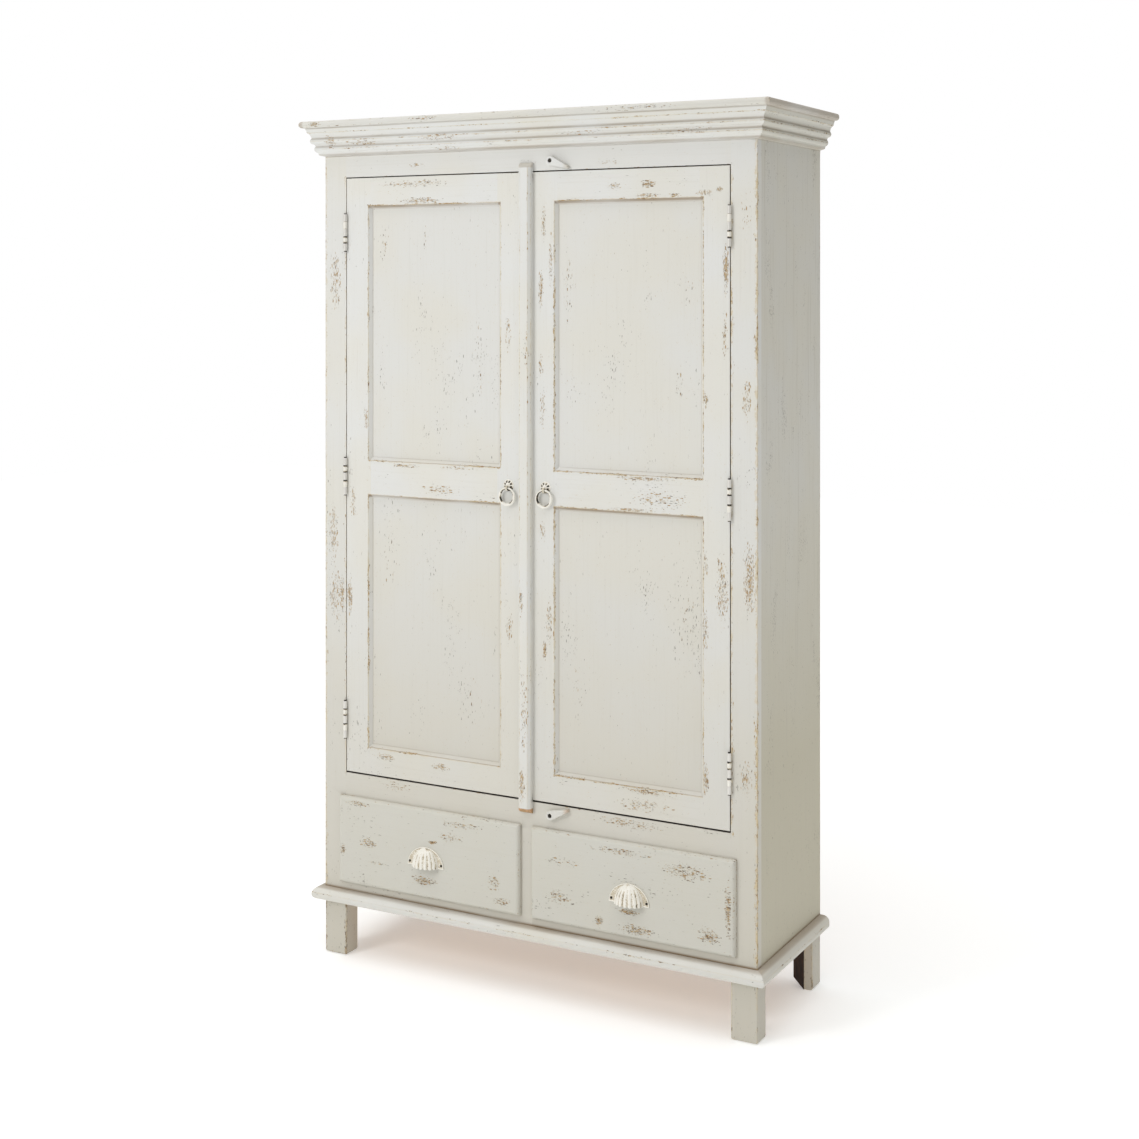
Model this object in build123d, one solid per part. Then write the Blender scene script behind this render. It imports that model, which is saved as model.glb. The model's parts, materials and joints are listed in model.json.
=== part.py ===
from build123d import *
import os
from math import cos, radians, sin

# A painted pine armoire: two panelled doors over two drawers, on four short legs.
# Millimetres. +Z is up, -Y is the front, +X is to the right seen from the front.
# The origin is at the bottom centre of the whole object's box, on the floor.
# Square-edged boards are butted and glued. Pieces on different moving bodies stay apart.

# Overall size
HEIGHT = 2000
CARCASS_WIDTH = 1120
CARCASS_DEPTH = 380
CORNICE_OUT = 46
BASE_OUT = 24

# Heights of the front's lines, from the floor up
LEG_TOP = 129
BASE_TOP = 159
DRAWER_BOTTOM = 179
DRAWER_TOP = 386
DOORWAY_BOTTOM = 440
DOORWAY_TOP = 1865
CORNICE_BOTTOM = 1917

# Board thicknesses
FRAME_T = 22
SIDE_T = 20
BACK_T = 12
BACK_PLANKS = 8
PLANK_BEVEL = 1.5
SHELF_T = 18
TOP_T = 16
DOOR_T = 22
DRAWER_WALL_T = 12
DRAWER_BOTTOM_T = 6

# Face frame and doors, as distances from the middle plane
FRAME_INNER = 499
DOOR_OUTER = 497
HINGE_STILE_W = 62
PANEL_INNER = 70
RIGHT_DOOR_EDGE = -15
LEFT_DOOR_EDGE = -17.6
DOOR_GAP_ABOVE = 2.5
DOOR_GAP_BELOW = 4

# Door rails, and the sloped edge round each panel
DOOR_TOP_RAIL_W = 65.5
DOOR_MID_RAIL = (1110, 1190)
DOOR_BOTTOM_RAIL_W = 63
SLOPE_RUN = 8
SLOPE_DEPTH = 9.5
PANEL_T = 8

# Derived planes and levels
FRONT = CORNICE_OUT / 2 - CARCASS_DEPTH / 2
BACK = FRONT + CARCASS_DEPTH
HALF = CARCASS_WIDTH / 2
INSIDE = HALF - SIDE_T
BEHIND_FRAME = FRONT + FRAME_T
BACK_INNER = BACK - BACK_T
CARCASS_TOP = HEIGHT - TOP_T
FLOOR_TOP = DOORWAY_BOTTOM
DOOR_FRONT = FRONT - 0.5
DOOR_BOTTOM = DOORWAY_BOTTOM + DOOR_GAP_BELOW
DOOR_TOP = DOORWAY_TOP - DOOR_GAP_ABOVE

# Drawers
DRAWER_INNER_EDGE = 15
DRAWER_OUTER_EDGE = 513
DRAWER_LIP = 8
DRAWER_FACE_T = 12
DRAWER_FACE_GAP = 0.5
DRAWER_EDGE_R = 9
DRAWER_STILE_HALF = 24
DRAWER_SIDE_CLEAR = 3
DRAWER_BACK_Y = 185
PARTITION_HALF = 10
RUNNER_W = 32
RUNNER_LIFT = 2
GUIDE_H = 22
GUIDE_CLEAR = 1.5
DRAWER_BOX_LIFT = 2.5
DRAWER_BOX_DROP = 6
DRAWER_BOTTOM_LIFT = 4

# Shelves
SHELF_COUNT = 3
SHELF_FRONT = BEHIND_FRAME + 4
CLEAT = 20
CLEAT_SETBACK = 15

# Legs
LEG_W = HALF - FRAME_INNER
FRONT_LEG_DEPTH = 48
REAR_LEG_DEPTH = 52
REAR_BLOCK_W = 26
REAR_BLOCK_CUT = 24

# Hinges
HINGE_HEIGHTS = (568, 1150, 1733)
HINGE_LENGTH = 88
KNUCKLES = 5
KNUCKLE_R = 4.5
KNUCKLE_GAP = 0.4
HINGE_X = 498
HINGE_Y = DOOR_FRONT - 5
PIN_R = 2
PIN_CLEARANCE = 0.05
LEAF_T = 1.5
LEAF_DEPTH = 16
LEAF_FROM_AXIS = 0.25
LEAF_SCREW_Z = (-30, 0, 30)
LEAF_SCREW_DEEP = 9
PIN_BUTTON_R = 3.2
PIN_BUTTON_H = 2

# Ring pulls
RING_X = 48
RING_Z = 1127
RING_R = 18.75
RING_WIRE_R = 2.75
RING_OFF_DOOR = 8
EYE_R = 6
EYE_HOLE_R = 3.4
EYE_W = 5
ROSETTE_Z = 1152
ROSETTE_R = 13.5
ROSETTE_T = 3

# Turn buttons
BUTTON_X = 64.5
BUTTON_TOP_Z = 1886.5
BUTTON_BOTTOM_Z = 418
BUTTON_HEAD_R = 10.5
BUTTON_LENGTH = 48
BUTTON_TIP_R = 3.5
BUTTON_T = 11
BUTTON_BORE_R = 2.05
BUTTON_OFF_FRAME = 1
SEAT_DEPTH = 3
BUTTON_SLOPE = 20
SLOT_W = 1
SLOT_DEPTH = 1

# Shell pulls on the drawers
PULL_Z = 254
PULL_HALF_W = 49
PULL_H = 45
PULL_OUT = 25
PULL_WALL = 2.6
PULL_PLATE_T = 2
PULL_SCREW_R = 1.5
PULL_RIBS = 9
PULL_SCREW_X = 43
PULL_SCREW_Z = 262

PARTS = {}


def keep(name, *solids):
    """File one node: one solid, or several separate solids of the same kind."""
    PARTS[name] = solids[0] if len(solids) == 1 else Compound(children=list(solids))


def board(x, y, z):
    """A square-edged board between two x, two y and two z values, given in any order."""
    spans = [sorted(pair) for pair in (x, y, z)]
    size = [high - low for low, high in spans]
    centre = [(low + high) / 2 for low, high in spans]
    return Pos(*centre) * Box(*size)


def rod(start, axis, radius, length):
    """A round rod from a point, along +X, -Y or +Z."""
    plane = {"x": Plane.YZ, "y": Plane.XZ, "z": Plane.XY}[axis]
    return extrude(Plane(origin=start, x_dir=plane.x_dir, z_dir=plane.z_dir) * Circle(radius), length)


def across(solid):
    """The same piece on the other side of the middle plane."""
    return mirror(solid, about=Plane.YZ)


def upright_face(x, y, z):
    """A rectangle that faces the front, between two x and two z values at one y."""
    plane = Plane(origin=(sum(x) / 2, y, sum(z) / 2), x_dir=(1, 0, 0), z_dir=(0, -1, 0))
    return plane * Rectangle(abs(x[1] - x[0]), abs(z[1] - z[0]))


# ---- carcass -------------------------------------------------------------------------


def carcass():
    """Sides, back planks, bottom, floor, partition, shelves and what they rest on."""
    side = board((INSIDE, HALF), (BEHIND_FRAME, BACK), (LEG_TOP, CARCASS_TOP))
    keep("right_side", side)
    keep("left_side", across(side))

    plank_w = 2 * INSIDE / BACK_PLANKS
    solids = []
    for i in range(BACK_PLANKS):
        left = -INSIDE + i * plank_w
        plank = board((left, left + plank_w), (BACK_INNER, BACK), (LEG_TOP, CARCASS_TOP))
        upright = plank.edges().filter_by(Axis.Z).group_by(Axis.Y)[-1]
        solids.append(chamfer(upright, PLANK_BEVEL))
    keep("back_planks", *solids)

    inner = (-INSIDE, INSIDE)
    deep = (BEHIND_FRAME, BACK_INNER)
    bottom_top = LEG_TOP + SHELF_T
    keep("carcass_bottom", board(inner, deep, (LEG_TOP, bottom_top)))
    keep("wardrobe_floor", board(inner, deep, (FLOOR_TOP - SHELF_T, FLOOR_TOP)))
    partition_x = (-PARTITION_HALF, PARTITION_HALF)
    keep("drawer_partition", board(partition_x, deep, (bottom_top, FLOOR_TOP - SHELF_T)))

    pitch = (CARCASS_TOP - FLOOR_TOP) / (SHELF_COUNT + 1)
    shelves = []
    cleats = []
    for i in range(SHELF_COUNT):
        top = FLOOR_TOP + (i + 1) * pitch
        shelves.append(board(inner, (SHELF_FRONT, BACK_INNER), (top - SHELF_T, top)))
        cleat_z = (top - SHELF_T - CLEAT, top - SHELF_T)
        cleat = board((INSIDE - CLEAT, INSIDE), (SHELF_FRONT + CLEAT_SETBACK, BACK_INNER), cleat_z)
        cleats += [cleat, across(cleat)]
    keep("shelves", *shelves)
    keep("shelf_cleats", *cleats)


def drawer_box_x():
    """The outer faces of the right drawer's box, inside its opening."""
    return DRAWER_STILE_HALF + DRAWER_SIDE_CLEAR, FRAME_INNER - DRAWER_SIDE_CLEAR


def drawer_runners():
    """Strips under each drawer's sides, and the guides beside them."""
    low_x, high_x = drawer_box_x()
    deep = (BEHIND_FRAME, BACK_INNER)
    seat = DRAWER_BOTTOM + DRAWER_LIP + RUNNER_LIFT
    guide_z = (seat, seat + GUIDE_H)
    strips = [
        board((PARTITION_HALF, PARTITION_HALF + RUNNER_W), deep, (LEG_TOP + SHELF_T, seat)),
        board((PARTITION_HALF, low_x - GUIDE_CLEAR), deep, guide_z),
        board((high_x - DRAWER_WALL_T, INSIDE), deep, (LEG_TOP + SHELF_T, seat)),
        board((high_x + GUIDE_CLEAR, INSIDE), deep, guide_z),
    ]
    keep("drawer_runners", *strips, *[across(strip) for strip in strips])


# ---- face frame ------------------------------------------------------------------------


def hinge_y():
    """From the knuckles' axis to the leaves' rear edge."""
    return HINGE_Y, FRONT + LEAF_DEPTH


def leaf_plate(x, middle):
    """The flat of a hinge leaf, from the axis into the joint between door and frame."""
    return board(x, hinge_y(), (middle - HINGE_LENGTH / 2, middle + HINGE_LENGTH / 2))


FRAME_LEAF_X = (HINGE_X + LEAF_FROM_AXIS, HINGE_X + LEAF_FROM_AXIS + LEAF_T)
DOOR_LEAF_X = (HINGE_X - LEAF_FROM_AXIS - LEAF_T, HINGE_X - LEAF_FROM_AXIS)


def leaf_screws(face_x, towards):
    """Three countersunk screws per leaf, from its inner face into the wood at one side."""
    head_r = 3
    shank_r = 1.5
    head_depth = 1.3
    length = 13
    solids = []
    for middle in HINGE_HEIGHTS:
        for offset in LEAF_SCREW_Z:
            centre = (face_x, FRONT + LEAF_SCREW_DEEP, middle + offset)
            plane = Plane(origin=centre, x_dir=(0, 1, 0), z_dir=(towards, 0, 0))
            cone = loft([plane * Circle(head_r), plane.offset(head_depth) * Circle(shank_r)])
            shank = extrude(plane.offset(head_depth) * Circle(shank_r), length)
            solids.append(cone + shank)
    return solids


def hinge_leaf(plate_x, middle, own_knuckles, bore_r):
    """A leaf with its knuckles, cut clear of the other leaf's knuckles."""
    pitch = HINGE_LENGTH / KNUCKLES
    bottom = middle - HINGE_LENGTH / 2
    leaf = leaf_plate(plate_x, middle)
    for i in range(KNUCKLES):
        low = bottom + i * pitch
        if i in own_knuckles:
            start = (HINGE_X, HINGE_Y, low + KNUCKLE_GAP / 2)
            leaf += rod(start, "z", KNUCKLE_R, pitch - KNUCKLE_GAP)
        else:
            start = (HINGE_X, HINGE_Y, low - KNUCKLE_GAP / 2)
            leaf -= rod(start, "z", KNUCKLE_R + 0.4, pitch + KNUCKLE_GAP)
    return leaf - rod((HINGE_X, HINGE_Y, bottom - 1), "z", bore_r, HINGE_LENGTH + 2)


def hinge_pin(middle):
    """A pin with a small button at each end."""
    low = middle - HINGE_LENGTH / 2
    pin = rod((HINGE_X, HINGE_Y, low), "z", PIN_R, HINGE_LENGTH)
    for start in (low - PIN_BUTTON_H, low + HINGE_LENGTH):
        pin += rod((HINGE_X, HINGE_Y, start), "z", PIN_BUTTON_R, PIN_BUTTON_H)
    return pin


def face_frame():
    """Stiles, rails and the short stile between the drawers, with the hinges' fixed halves."""
    y = (FRONT, BEHIND_FRAME)
    stile = board((FRAME_INNER, HALF), y, (LEG_TOP, CARCASS_TOP))
    screws = leaf_screws(FRAME_LEAF_X[0], 1)
    leaves = []
    pins = []
    for middle in HINGE_HEIGHTS:
        stile -= leaf_plate(FRAME_LEAF_X, middle)
        leaves.append(hinge_leaf(FRAME_LEAF_X, middle, (0, 2, 4), PIN_R))
        pins.append(hinge_pin(middle))
    for i, screw in enumerate(screws):
        stile -= screw
        leaves[i // len(LEAF_SCREW_Z)] -= screw
    keep("right_frame_stile", stile)
    keep("left_frame_stile", across(stile))
    keep("hinge_frame_leaves", *leaves, *[across(leaf) for leaf in leaves])
    keep("hinge_pins", *pins, *[across(pin) for pin in pins])
    keep("frame_hinge_screws", *screws, *[across(screw) for screw in screws])

    inner = (-FRAME_INNER, FRAME_INNER)
    opening_z = (DRAWER_BOTTOM + DRAWER_LIP, DRAWER_TOP - DRAWER_LIP)
    top_rail = board(inner, y, (DOORWAY_TOP, CARCASS_TOP))
    middle_rail = board(inner, y, (opening_z[1], DOORWAY_BOTTOM))
    keep("frame_top_rail", top_rail - button_screw(BUTTON_TOP_Z))
    keep("frame_middle_rail", middle_rail - button_screw(BUTTON_BOTTOM_Z))
    keep("frame_bottom_rail", board(inner, y, (LEG_TOP, opening_z[0])))
    short_x = (-DRAWER_STILE_HALF, DRAWER_STILE_HALF)
    keep("frame_drawer_stile", board(short_x, y, opening_z))


# ---- turn buttons ----------------------------------------------------------------------


def slotted(head, x, face_y, z, angle):
    """A screw head with a slot cut across its face."""
    slot = Pos(x, face_y, z) * Rot(0, angle, 0) * Box(2 * BUTTON_HEAD_R, 2 * SLOT_DEPTH, SLOT_W)
    return head - slot


def button_screw(z):
    """A round-headed screw through the button's thick end into the rail, with its washer."""
    head_r = 4.6
    head_h = 2.4
    seat_floor = FRONT - BUTTON_OFF_FRAME - BUTTON_T + SEAT_DEPTH
    head_y = seat_floor - 0.3
    wood_end = FRONT + 16
    shank = rod((BUTTON_X, wood_end, z), "y", BUTTON_BORE_R - PIN_CLEARANCE, wood_end - head_y)
    head = rod((BUTTON_X, head_y, z), "y", head_r, head_h)
    washer = rod((BUTTON_X, FRONT, z), "y", 6, BUTTON_OFF_FRAME - 0.3)
    head = fillet(head.edges().group_by(Axis.Y)[0], 1.6)
    return shank + washer + slotted(head, BUTTON_X, head_y - head_h, z, 35)


def turn_button(z, angle):
    """A teardrop that turns on its screw. The angle is from +X towards +Z, in degrees."""
    back_y = FRONT - BUTTON_OFF_FRAME
    tip_x = BUTTON_LENGTH - BUTTON_TIP_R
    slope = (BUTTON_HEAD_R - BUTTON_TIP_R) / tip_x
    rise = (1 - slope ** 2) ** 0.5
    head_touch = (BUTTON_HEAD_R * slope, BUTTON_HEAD_R * rise)
    tip_touch = (tip_x + BUTTON_TIP_R * slope, BUTTON_TIP_R * rise)
    head_under = (head_touch[0], -head_touch[1])
    tip_under = (tip_touch[0], -tip_touch[1])
    outline = Polyline(head_touch, tip_touch)
    outline += ThreePointArc(tip_touch, (BUTTON_LENGTH, 0), tip_under)
    outline += Polyline(tip_under, head_under)
    outline += ThreePointArc(head_under, (-BUTTON_HEAD_R, 0), head_touch)
    plane = Plane(origin=(0, back_y, 0), x_dir=(1, 0, 0), z_dir=(0, -1, 0))
    body = extrude(plane * make_face(outline), BUTTON_T)
    body = fillet(body.edges().group_by(Axis.Y)[0], 2.6)
    bore = rod((0, back_y + 1, 0), "y", BUTTON_BORE_R, BUTTON_T + 2)
    seat = rod((0, back_y - BUTTON_T + SEAT_DEPTH, 0), "y", 5, SEAT_DEPTH + 1)
    return Pos(BUTTON_X, 0, z) * Rot(0, -angle, 0) * (body - bore - seat)


def turn_buttons():
    """Both buttons rest turned just clear of the doors, the tips to the right."""
    keep("top_turn_button", turn_button(BUTTON_TOP_Z, -BUTTON_SLOPE))
    keep("bottom_turn_button", turn_button(BUTTON_BOTTOM_Z, BUTTON_SLOPE))
    keep("turn_button_screws", button_screw(BUTTON_TOP_Z), button_screw(BUTTON_BOTTOM_Z))


# ---- mouldings, legs and top -------------------------------------------------------------


def cornice_profile():
    """Outline of the cornice moulding: outward from the carcass, and up from the floor."""
    def at(out, below_top):
        return out, HEIGHT - below_top

    line = Polyline(at(11, 80), at(0, 83), at(0, TOP_T), at(35, TOP_T), at(32, 27))
    line += ThreePointArc(at(32, 27), at(26.3, 33), at(24, 41))
    line += ThreePointArc(at(24, 41), at(26.7, 47), at(20, 54))
    line += ThreePointArc(at(20, 54), at(17.5, 56.7), at(16.8, 60))
    line += ThreePointArc(at(16.8, 60), at(19.3, 66.5), at(13, 74))
    line += Polyline(at(13, 74), at(11, 80))
    return make_face(line)


def base_profile():
    """Outline of the base moulding: a rounded nose, furthest out just below its middle."""
    widest = (BASE_OUT, LEG_TOP + 14)
    line = Polyline((14, LEG_TOP), (0, LEG_TOP), (0, BASE_TOP), (6, BASE_TOP))
    line += ThreePointArc((6, BASE_TOP), (19.3, LEG_TOP + 24.5), widest)
    line += ThreePointArc(widest, (21.5, LEG_TOP + 5), (14, LEG_TOP))
    return make_face(line)


def mouldings(name, profile, out, rear_round):
    """A moulding round the front and both sides, mitred at the front corners."""
    far = out + 1
    height = HEIGHT + 1
    front_run = Plane(origin=(-HALF - far, FRONT, 0), x_dir=(0, -1, 0), z_dir=(-1, 0, 0))
    front = extrude(front_run * profile, -2 * (HALF + far))
    plan = Polyline((-HALF, FRONT), (HALF, FRONT), (HALF + far, FRONT - far),
                    (-HALF - far, FRONT - far), close=True)
    keep(f"{name}_front", front & extrude(make_face(plan), height))

    side_run = Plane(origin=(HALF, BACK, 0), x_dir=(1, 0, 0), z_dir=(0, -1, 0))
    side = extrude(side_run * profile, CARCASS_DEPTH + far)
    plan = Polyline((HALF, FRONT), (HALF + far, FRONT - far), (HALF + far, BACK),
                    (HALF, BACK), close=True)
    side = side & extrude(make_face(plan), height)
    if rear_round:
        corner = side.bounding_box().max.X
        tool = board((corner - rear_round, corner + 1), (BACK - rear_round, BACK + 1), (0, HEIGHT))
        tool -= rod((corner - rear_round, BACK - rear_round, 0), "z", rear_round, HEIGHT)
        side -= tool
    keep(f"{name}_right", side)
    keep(f"{name}_left", across(side))


def top_board():
    """The top, with a rounded nose at the front and sides and a square rear edge."""
    reach = HALF + CORNICE_OUT
    top = board((-reach, reach), (FRONT - CORNICE_OUT, BACK), (CARCASS_TOP, HEIGHT))
    nose = top.edges().group_by(Axis.Y)[0] + top.edges().filter_by(Axis.Y)
    keep("top_board", fillet(nose.filter_by(Axis.Z, reverse=True), TOP_T / 2 - 1))


def legs():
    """Front legs under the frame's corners; rear legs of a painted board and a bare block."""
    foot_chamfer = 4
    front = board((FRAME_INNER, HALF), (FRONT, FRONT + FRONT_LEG_DEPTH), (0, LEG_TOP))
    front = chamfer(front.edges().group_by(Axis.Z)[0], foot_chamfer)
    keep("front_legs", front, across(front))

    y = (BACK - REAR_LEG_DEPTH, BACK)
    rear = board((INSIDE, HALF), y, (0, LEG_TOP))
    outer_foot = rear.edges().group_by(Axis.Z)[0].group_by(Axis.X)[-1]
    rear = chamfer(outer_foot, foot_chamfer)
    keep("rear_legs", rear, across(rear))

    inner = INSIDE - REAR_BLOCK_W
    plane = Plane(origin=(0, BACK, 0), x_dir=(1, 0, 0), z_dir=(0, -1, 0))
    outline = Polyline((inner + REAR_BLOCK_CUT, 0), (INSIDE, 0), (INSIDE, LEG_TOP),
                       (inner, LEG_TOP), (inner, REAR_BLOCK_CUT), close=True)
    block = extrude(plane * make_face(outline), REAR_LEG_DEPTH)
    keep("rear_leg_blocks", block, across(block))


# ---- doors ----------------------------------------------------------------------------


def panel_opening(x, z):
    """The cut for one panel: a slope all round down to the panel's face."""
    inner_x = (x[0] + SLOPE_RUN, x[1] - SLOPE_RUN)
    inner_z = (z[0] + SLOPE_RUN, z[1] - SLOPE_RUN)
    wide = upright_face(x, DOOR_FRONT, z)
    return loft([wide, upright_face(inner_x, DOOR_FRONT + SLOPE_DEPTH, inner_z)])


def door(name, sign, meeting_edge):
    """A framed door with two panels. The sign is 1 for the right door, -1 for the left."""
    def side(x):
        return sign * x

    y = (DOOR_FRONT, DOOR_FRONT + DOOR_T)
    z = (DOOR_BOTTOM, DOOR_TOP)
    panel_outer = DOOR_OUTER - HINGE_STILE_W
    hinge_edge = panel_outer - SLOPE_RUN
    meet_edge = PANEL_INNER + SLOPE_RUN
    rail_x = (side(meet_edge), side(hinge_edge))
    bottom_rail_top = DOOR_BOTTOM + DOOR_BOTTOM_RAIL_W
    top_rail_low = DOOR_TOP - DOOR_TOP_RAIL_W
    frame = [
        board((side(hinge_edge), side(DOOR_OUTER)), y, z),
        board((meeting_edge, side(meet_edge)), y, z),
        board(rail_x, y, (DOOR_BOTTOM, bottom_rail_top + SLOPE_RUN)),
        board(rail_x, y, (DOOR_MID_RAIL[0] - SLOPE_RUN, DOOR_MID_RAIL[1] + SLOPE_RUN)),
        board(rail_x, y, (top_rail_low - SLOPE_RUN, DOOR_TOP)),
    ]
    panels = []
    for panel_z in ((bottom_rail_top, DOOR_MID_RAIL[0]), (DOOR_MID_RAIL[1], top_rail_low)):
        panel_x = sorted((side(PANEL_INNER), side(panel_outer)))
        face_y = DOOR_FRONT + SLOPE_DEPTH
        panel = board(panel_x, (face_y, face_y + PANEL_T), panel_z)
        cut = panel_opening(panel_x, panel_z)
        frame = [member - cut - panel for member in frame]
        panels.append(panel)

    screws = leaf_screws(DOOR_LEAF_X[1], -1)
    leaves = [hinge_leaf(DOOR_LEAF_X, middle, (1, 3), PIN_R + PIN_CLEARANCE)
              for middle in HINGE_HEIGHTS]
    for i, screw in enumerate(screws):
        leaves[i // len(LEAF_SCREW_Z)] -= screw
    mortises = [leaf_plate(DOOR_LEAF_X, middle) for middle in HINGE_HEIGHTS]
    if sign < 0:
        screws = [across(screw) for screw in screws]
        leaves = [across(leaf) for leaf in leaves]
        mortises = [across(mortise) for mortise in mortises]
    for cut in mortises + screws:
        frame[0] -= cut

    keep(f"{name}_hinge_stile", frame[0])
    keep(f"{name}_meeting_stile", frame[1])
    keep(f"{name}_rails", *frame[2:])
    keep(f"{name}_panels", *panels)
    keep(f"{name}_hinge_leaves", *leaves)
    keep(f"{name}_hinge_screws", *screws)


def closing_strip():
    """The strip on the right door that covers the joint; its front and ends are bevelled."""
    half = 16
    out = 17
    bevel = 6
    end_bevel = 12
    tip = 4
    low, high = DOOR_BOTTOM - 29, DOOR_TOP + 21.5
    section = Polyline((-half, 0), (half, 0), (half, out - bevel), (half - bevel, out),
                       (bevel - half, out), (-half, out - bevel), close=True)
    plane = Plane(origin=(0, DOOR_FRONT, low), x_dir=(-1, 0, 0), z_dir=(0, 0, 1))
    strip = extrude(plane * make_face(section), high - low)
    side_plane = Plane(origin=(-half - 1, DOOR_FRONT, 0), x_dir=(0, -1, 0), z_dir=(-1, 0, 0))
    side = Polyline((0, low), (0, high), (tip, high), (out + 1, high - end_bevel),
                    (out + 1, low + end_bevel), (tip, low), close=True)
    keep("closing_strip", strip & extrude(side_plane * make_face(side), -2 * half - 2))


def ring_pull(name, x):
    """A round plate with an eye, and a ring that hangs in the eye."""
    axis_y = DOOR_FRONT - RING_OFF_DOOR
    eye_z = RING_Z + RING_R
    plate = rod((x, DOOR_FRONT, ROSETTE_Z), "y", ROSETTE_R, ROSETTE_T)
    plate = fillet(plate.edges().group_by(Axis.Y)[0], 1.8)
    dome = Pos(x, DOOR_FRONT, ROSETTE_Z + 1.5) * Sphere(7)
    plate += dome & board((x - 9, x + 9), (DOOR_FRONT - 9, DOOR_FRONT), (1140, 1170))
    plate += rod((x - EYE_W / 2, axis_y, eye_z), "x", EYE_R, EYE_W)
    plate -= rod((x - 12, axis_y, eye_z), "x", EYE_HOLE_R, 24)
    keep(f"{name}_ring_plate", plate)
    keep(f"{name}_ring", Pos(x, axis_y, RING_Z) * Rot(90, 0, 0) * Torus(RING_R, RING_WIRE_R))


# ---- drawers ----------------------------------------------------------------------------


def shell(radial_gap, face_y):
    """A quarter of an egg that bulges from the drawer's face, or the hollow inside it."""
    ball = scale(Sphere(1), by=(PULL_HALF_W - 10 - radial_gap, PULL_OUT - radial_gap,
                                PULL_H - radial_gap))
    return Pos(0, face_y, PULL_Z) * ball


def shell_pull(x, face_y):
    """A ribbed cup pull, open below, on a half-moon back plate with a screw at each end."""
    plane = Plane(origin=(0, face_y, PULL_Z), x_dir=(1, 0, 0), z_dir=(0, -1, 0))
    outline = Polyline((-PULL_HALF_W, 0), (PULL_HALF_W, 0))
    outline += ThreePointArc((PULL_HALF_W, 0), (0, PULL_H), (-PULL_HALF_W, 0))
    plate = extrude(plane * make_face(outline), PULL_PLATE_T)
    keep_zone = board((-PULL_HALF_W, PULL_HALF_W), (face_y - PULL_OUT - 1, face_y),
                      (PULL_Z, PULL_Z + PULL_H + 1))
    cup = shell(0, face_y) & keep_zone
    for i in range(PULL_RIBS + 1):
        angle = radians(180 * i / PULL_RIBS)
        reach = (PULL_HALF_W - 9) * cos(angle)
        groove = rod((reach, face_y - PULL_OUT * sin(angle), PULL_Z - 1), "z", 1.6, 16)
        cup -= groove
    pull = plate + cup - shell(PULL_WALL, face_y)
    for sign in (-1, 1):
        start = (sign * PULL_SCREW_X, face_y, PULL_SCREW_Z)
        pull -= rod(start, "y", PULL_SCREW_R, PULL_PLATE_T)
    return Pos(x, 0, 0) * pull


def pull_screw(x, face_y):
    """A small round-headed screw through one end of the pull's back plate."""
    in_wood = 9
    head_h = 1.6
    plate_y = face_y - PULL_PLATE_T
    shank = rod((x, face_y + in_wood, PULL_SCREW_Z), "y", PULL_SCREW_R, in_wood + PULL_PLATE_T)
    head = rod((x, plate_y, PULL_SCREW_Z), "y", 2.8, head_h)
    head = fillet(head.edges().group_by(Axis.Y)[0], 1.2)
    return shank + slotted(head, x, plate_y - head_h, PULL_SCREW_Z, 60)


def drawer(name, sign):
    """A lipped front on a plain box, and its pull. The sign is 1 for the right drawer."""
    def side(solid):
        return solid if sign > 0 else across(solid)

    back_y = FRONT - DRAWER_FACE_GAP
    face_y = back_y - DRAWER_FACE_T
    middle = (DRAWER_INNER_EDGE + DRAWER_OUTER_EDGE) / 2
    front = board((DRAWER_INNER_EDGE, DRAWER_OUTER_EDGE), (face_y, back_y),
                  (DRAWER_BOTTOM, DRAWER_TOP))
    front = fillet(front.edges().group_by(Axis.Y)[0], DRAWER_EDGE_R)
    screws = [pull_screw(middle + sign_x * PULL_SCREW_X, face_y) for sign_x in (-1, 1)]
    for screw in screws:
        front -= screw
    keep(f"{name}_front", side(front))
    keep(f"{name}_pull", side(shell_pull(middle, face_y)))
    keep(f"{name}_pull_screws", *[side(screw) for screw in screws])

    low_x, high_x = drawer_box_x()
    walls_z = (DRAWER_BOTTOM + DRAWER_LIP + DRAWER_BOX_LIFT, DRAWER_TOP - DRAWER_LIP - DRAWER_BOX_DROP)
    inner = (low_x + DRAWER_WALL_T, high_x - DRAWER_WALL_T)
    sides = [board((low_x, inner[0]), (back_y, DRAWER_BACK_Y), walls_z),
             board((inner[1], high_x), (back_y, DRAWER_BACK_Y), walls_z)]
    ends = [board(inner, (back_y, back_y + DRAWER_WALL_T), walls_z),
            board(inner, (DRAWER_BACK_Y - DRAWER_WALL_T, DRAWER_BACK_Y), walls_z)]
    floor_z = walls_z[0] + DRAWER_BOTTOM_LIFT
    floor = board(inner, (back_y + DRAWER_WALL_T, DRAWER_BACK_Y - DRAWER_WALL_T),
                  (floor_z, floor_z + DRAWER_BOTTOM_T))
    keep(f"{name}_sides", *[side(wall) for wall in sides])
    keep(f"{name}_ends", *[side(wall) for wall in ends])
    keep(f"{name}_bottom", side(floor))


carcass()
drawer_runners()
face_frame()
turn_buttons()
mouldings("cornice", cornice_profile(), CORNICE_OUT, 0)
mouldings("base_moulding", base_profile(), BASE_OUT, 6)
top_board()
legs()
door("right_door", 1, RIGHT_DOOR_EDGE)
door("left_door", -1, LEFT_DOOR_EDGE)
closing_strip()
ring_pull("right", RING_X)
ring_pull("left", -RING_X)
drawer("right_drawer", 1)
drawer("left_drawer", -1)

os.makedirs("parts", exist_ok=True)
for node, shape in PARTS.items():
    export_step(shape, f"parts/{node}.step")
print(len(PARTS), "nodes")
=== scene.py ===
import json
import math

import bmesh
import bpy
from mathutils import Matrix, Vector, noise

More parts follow.
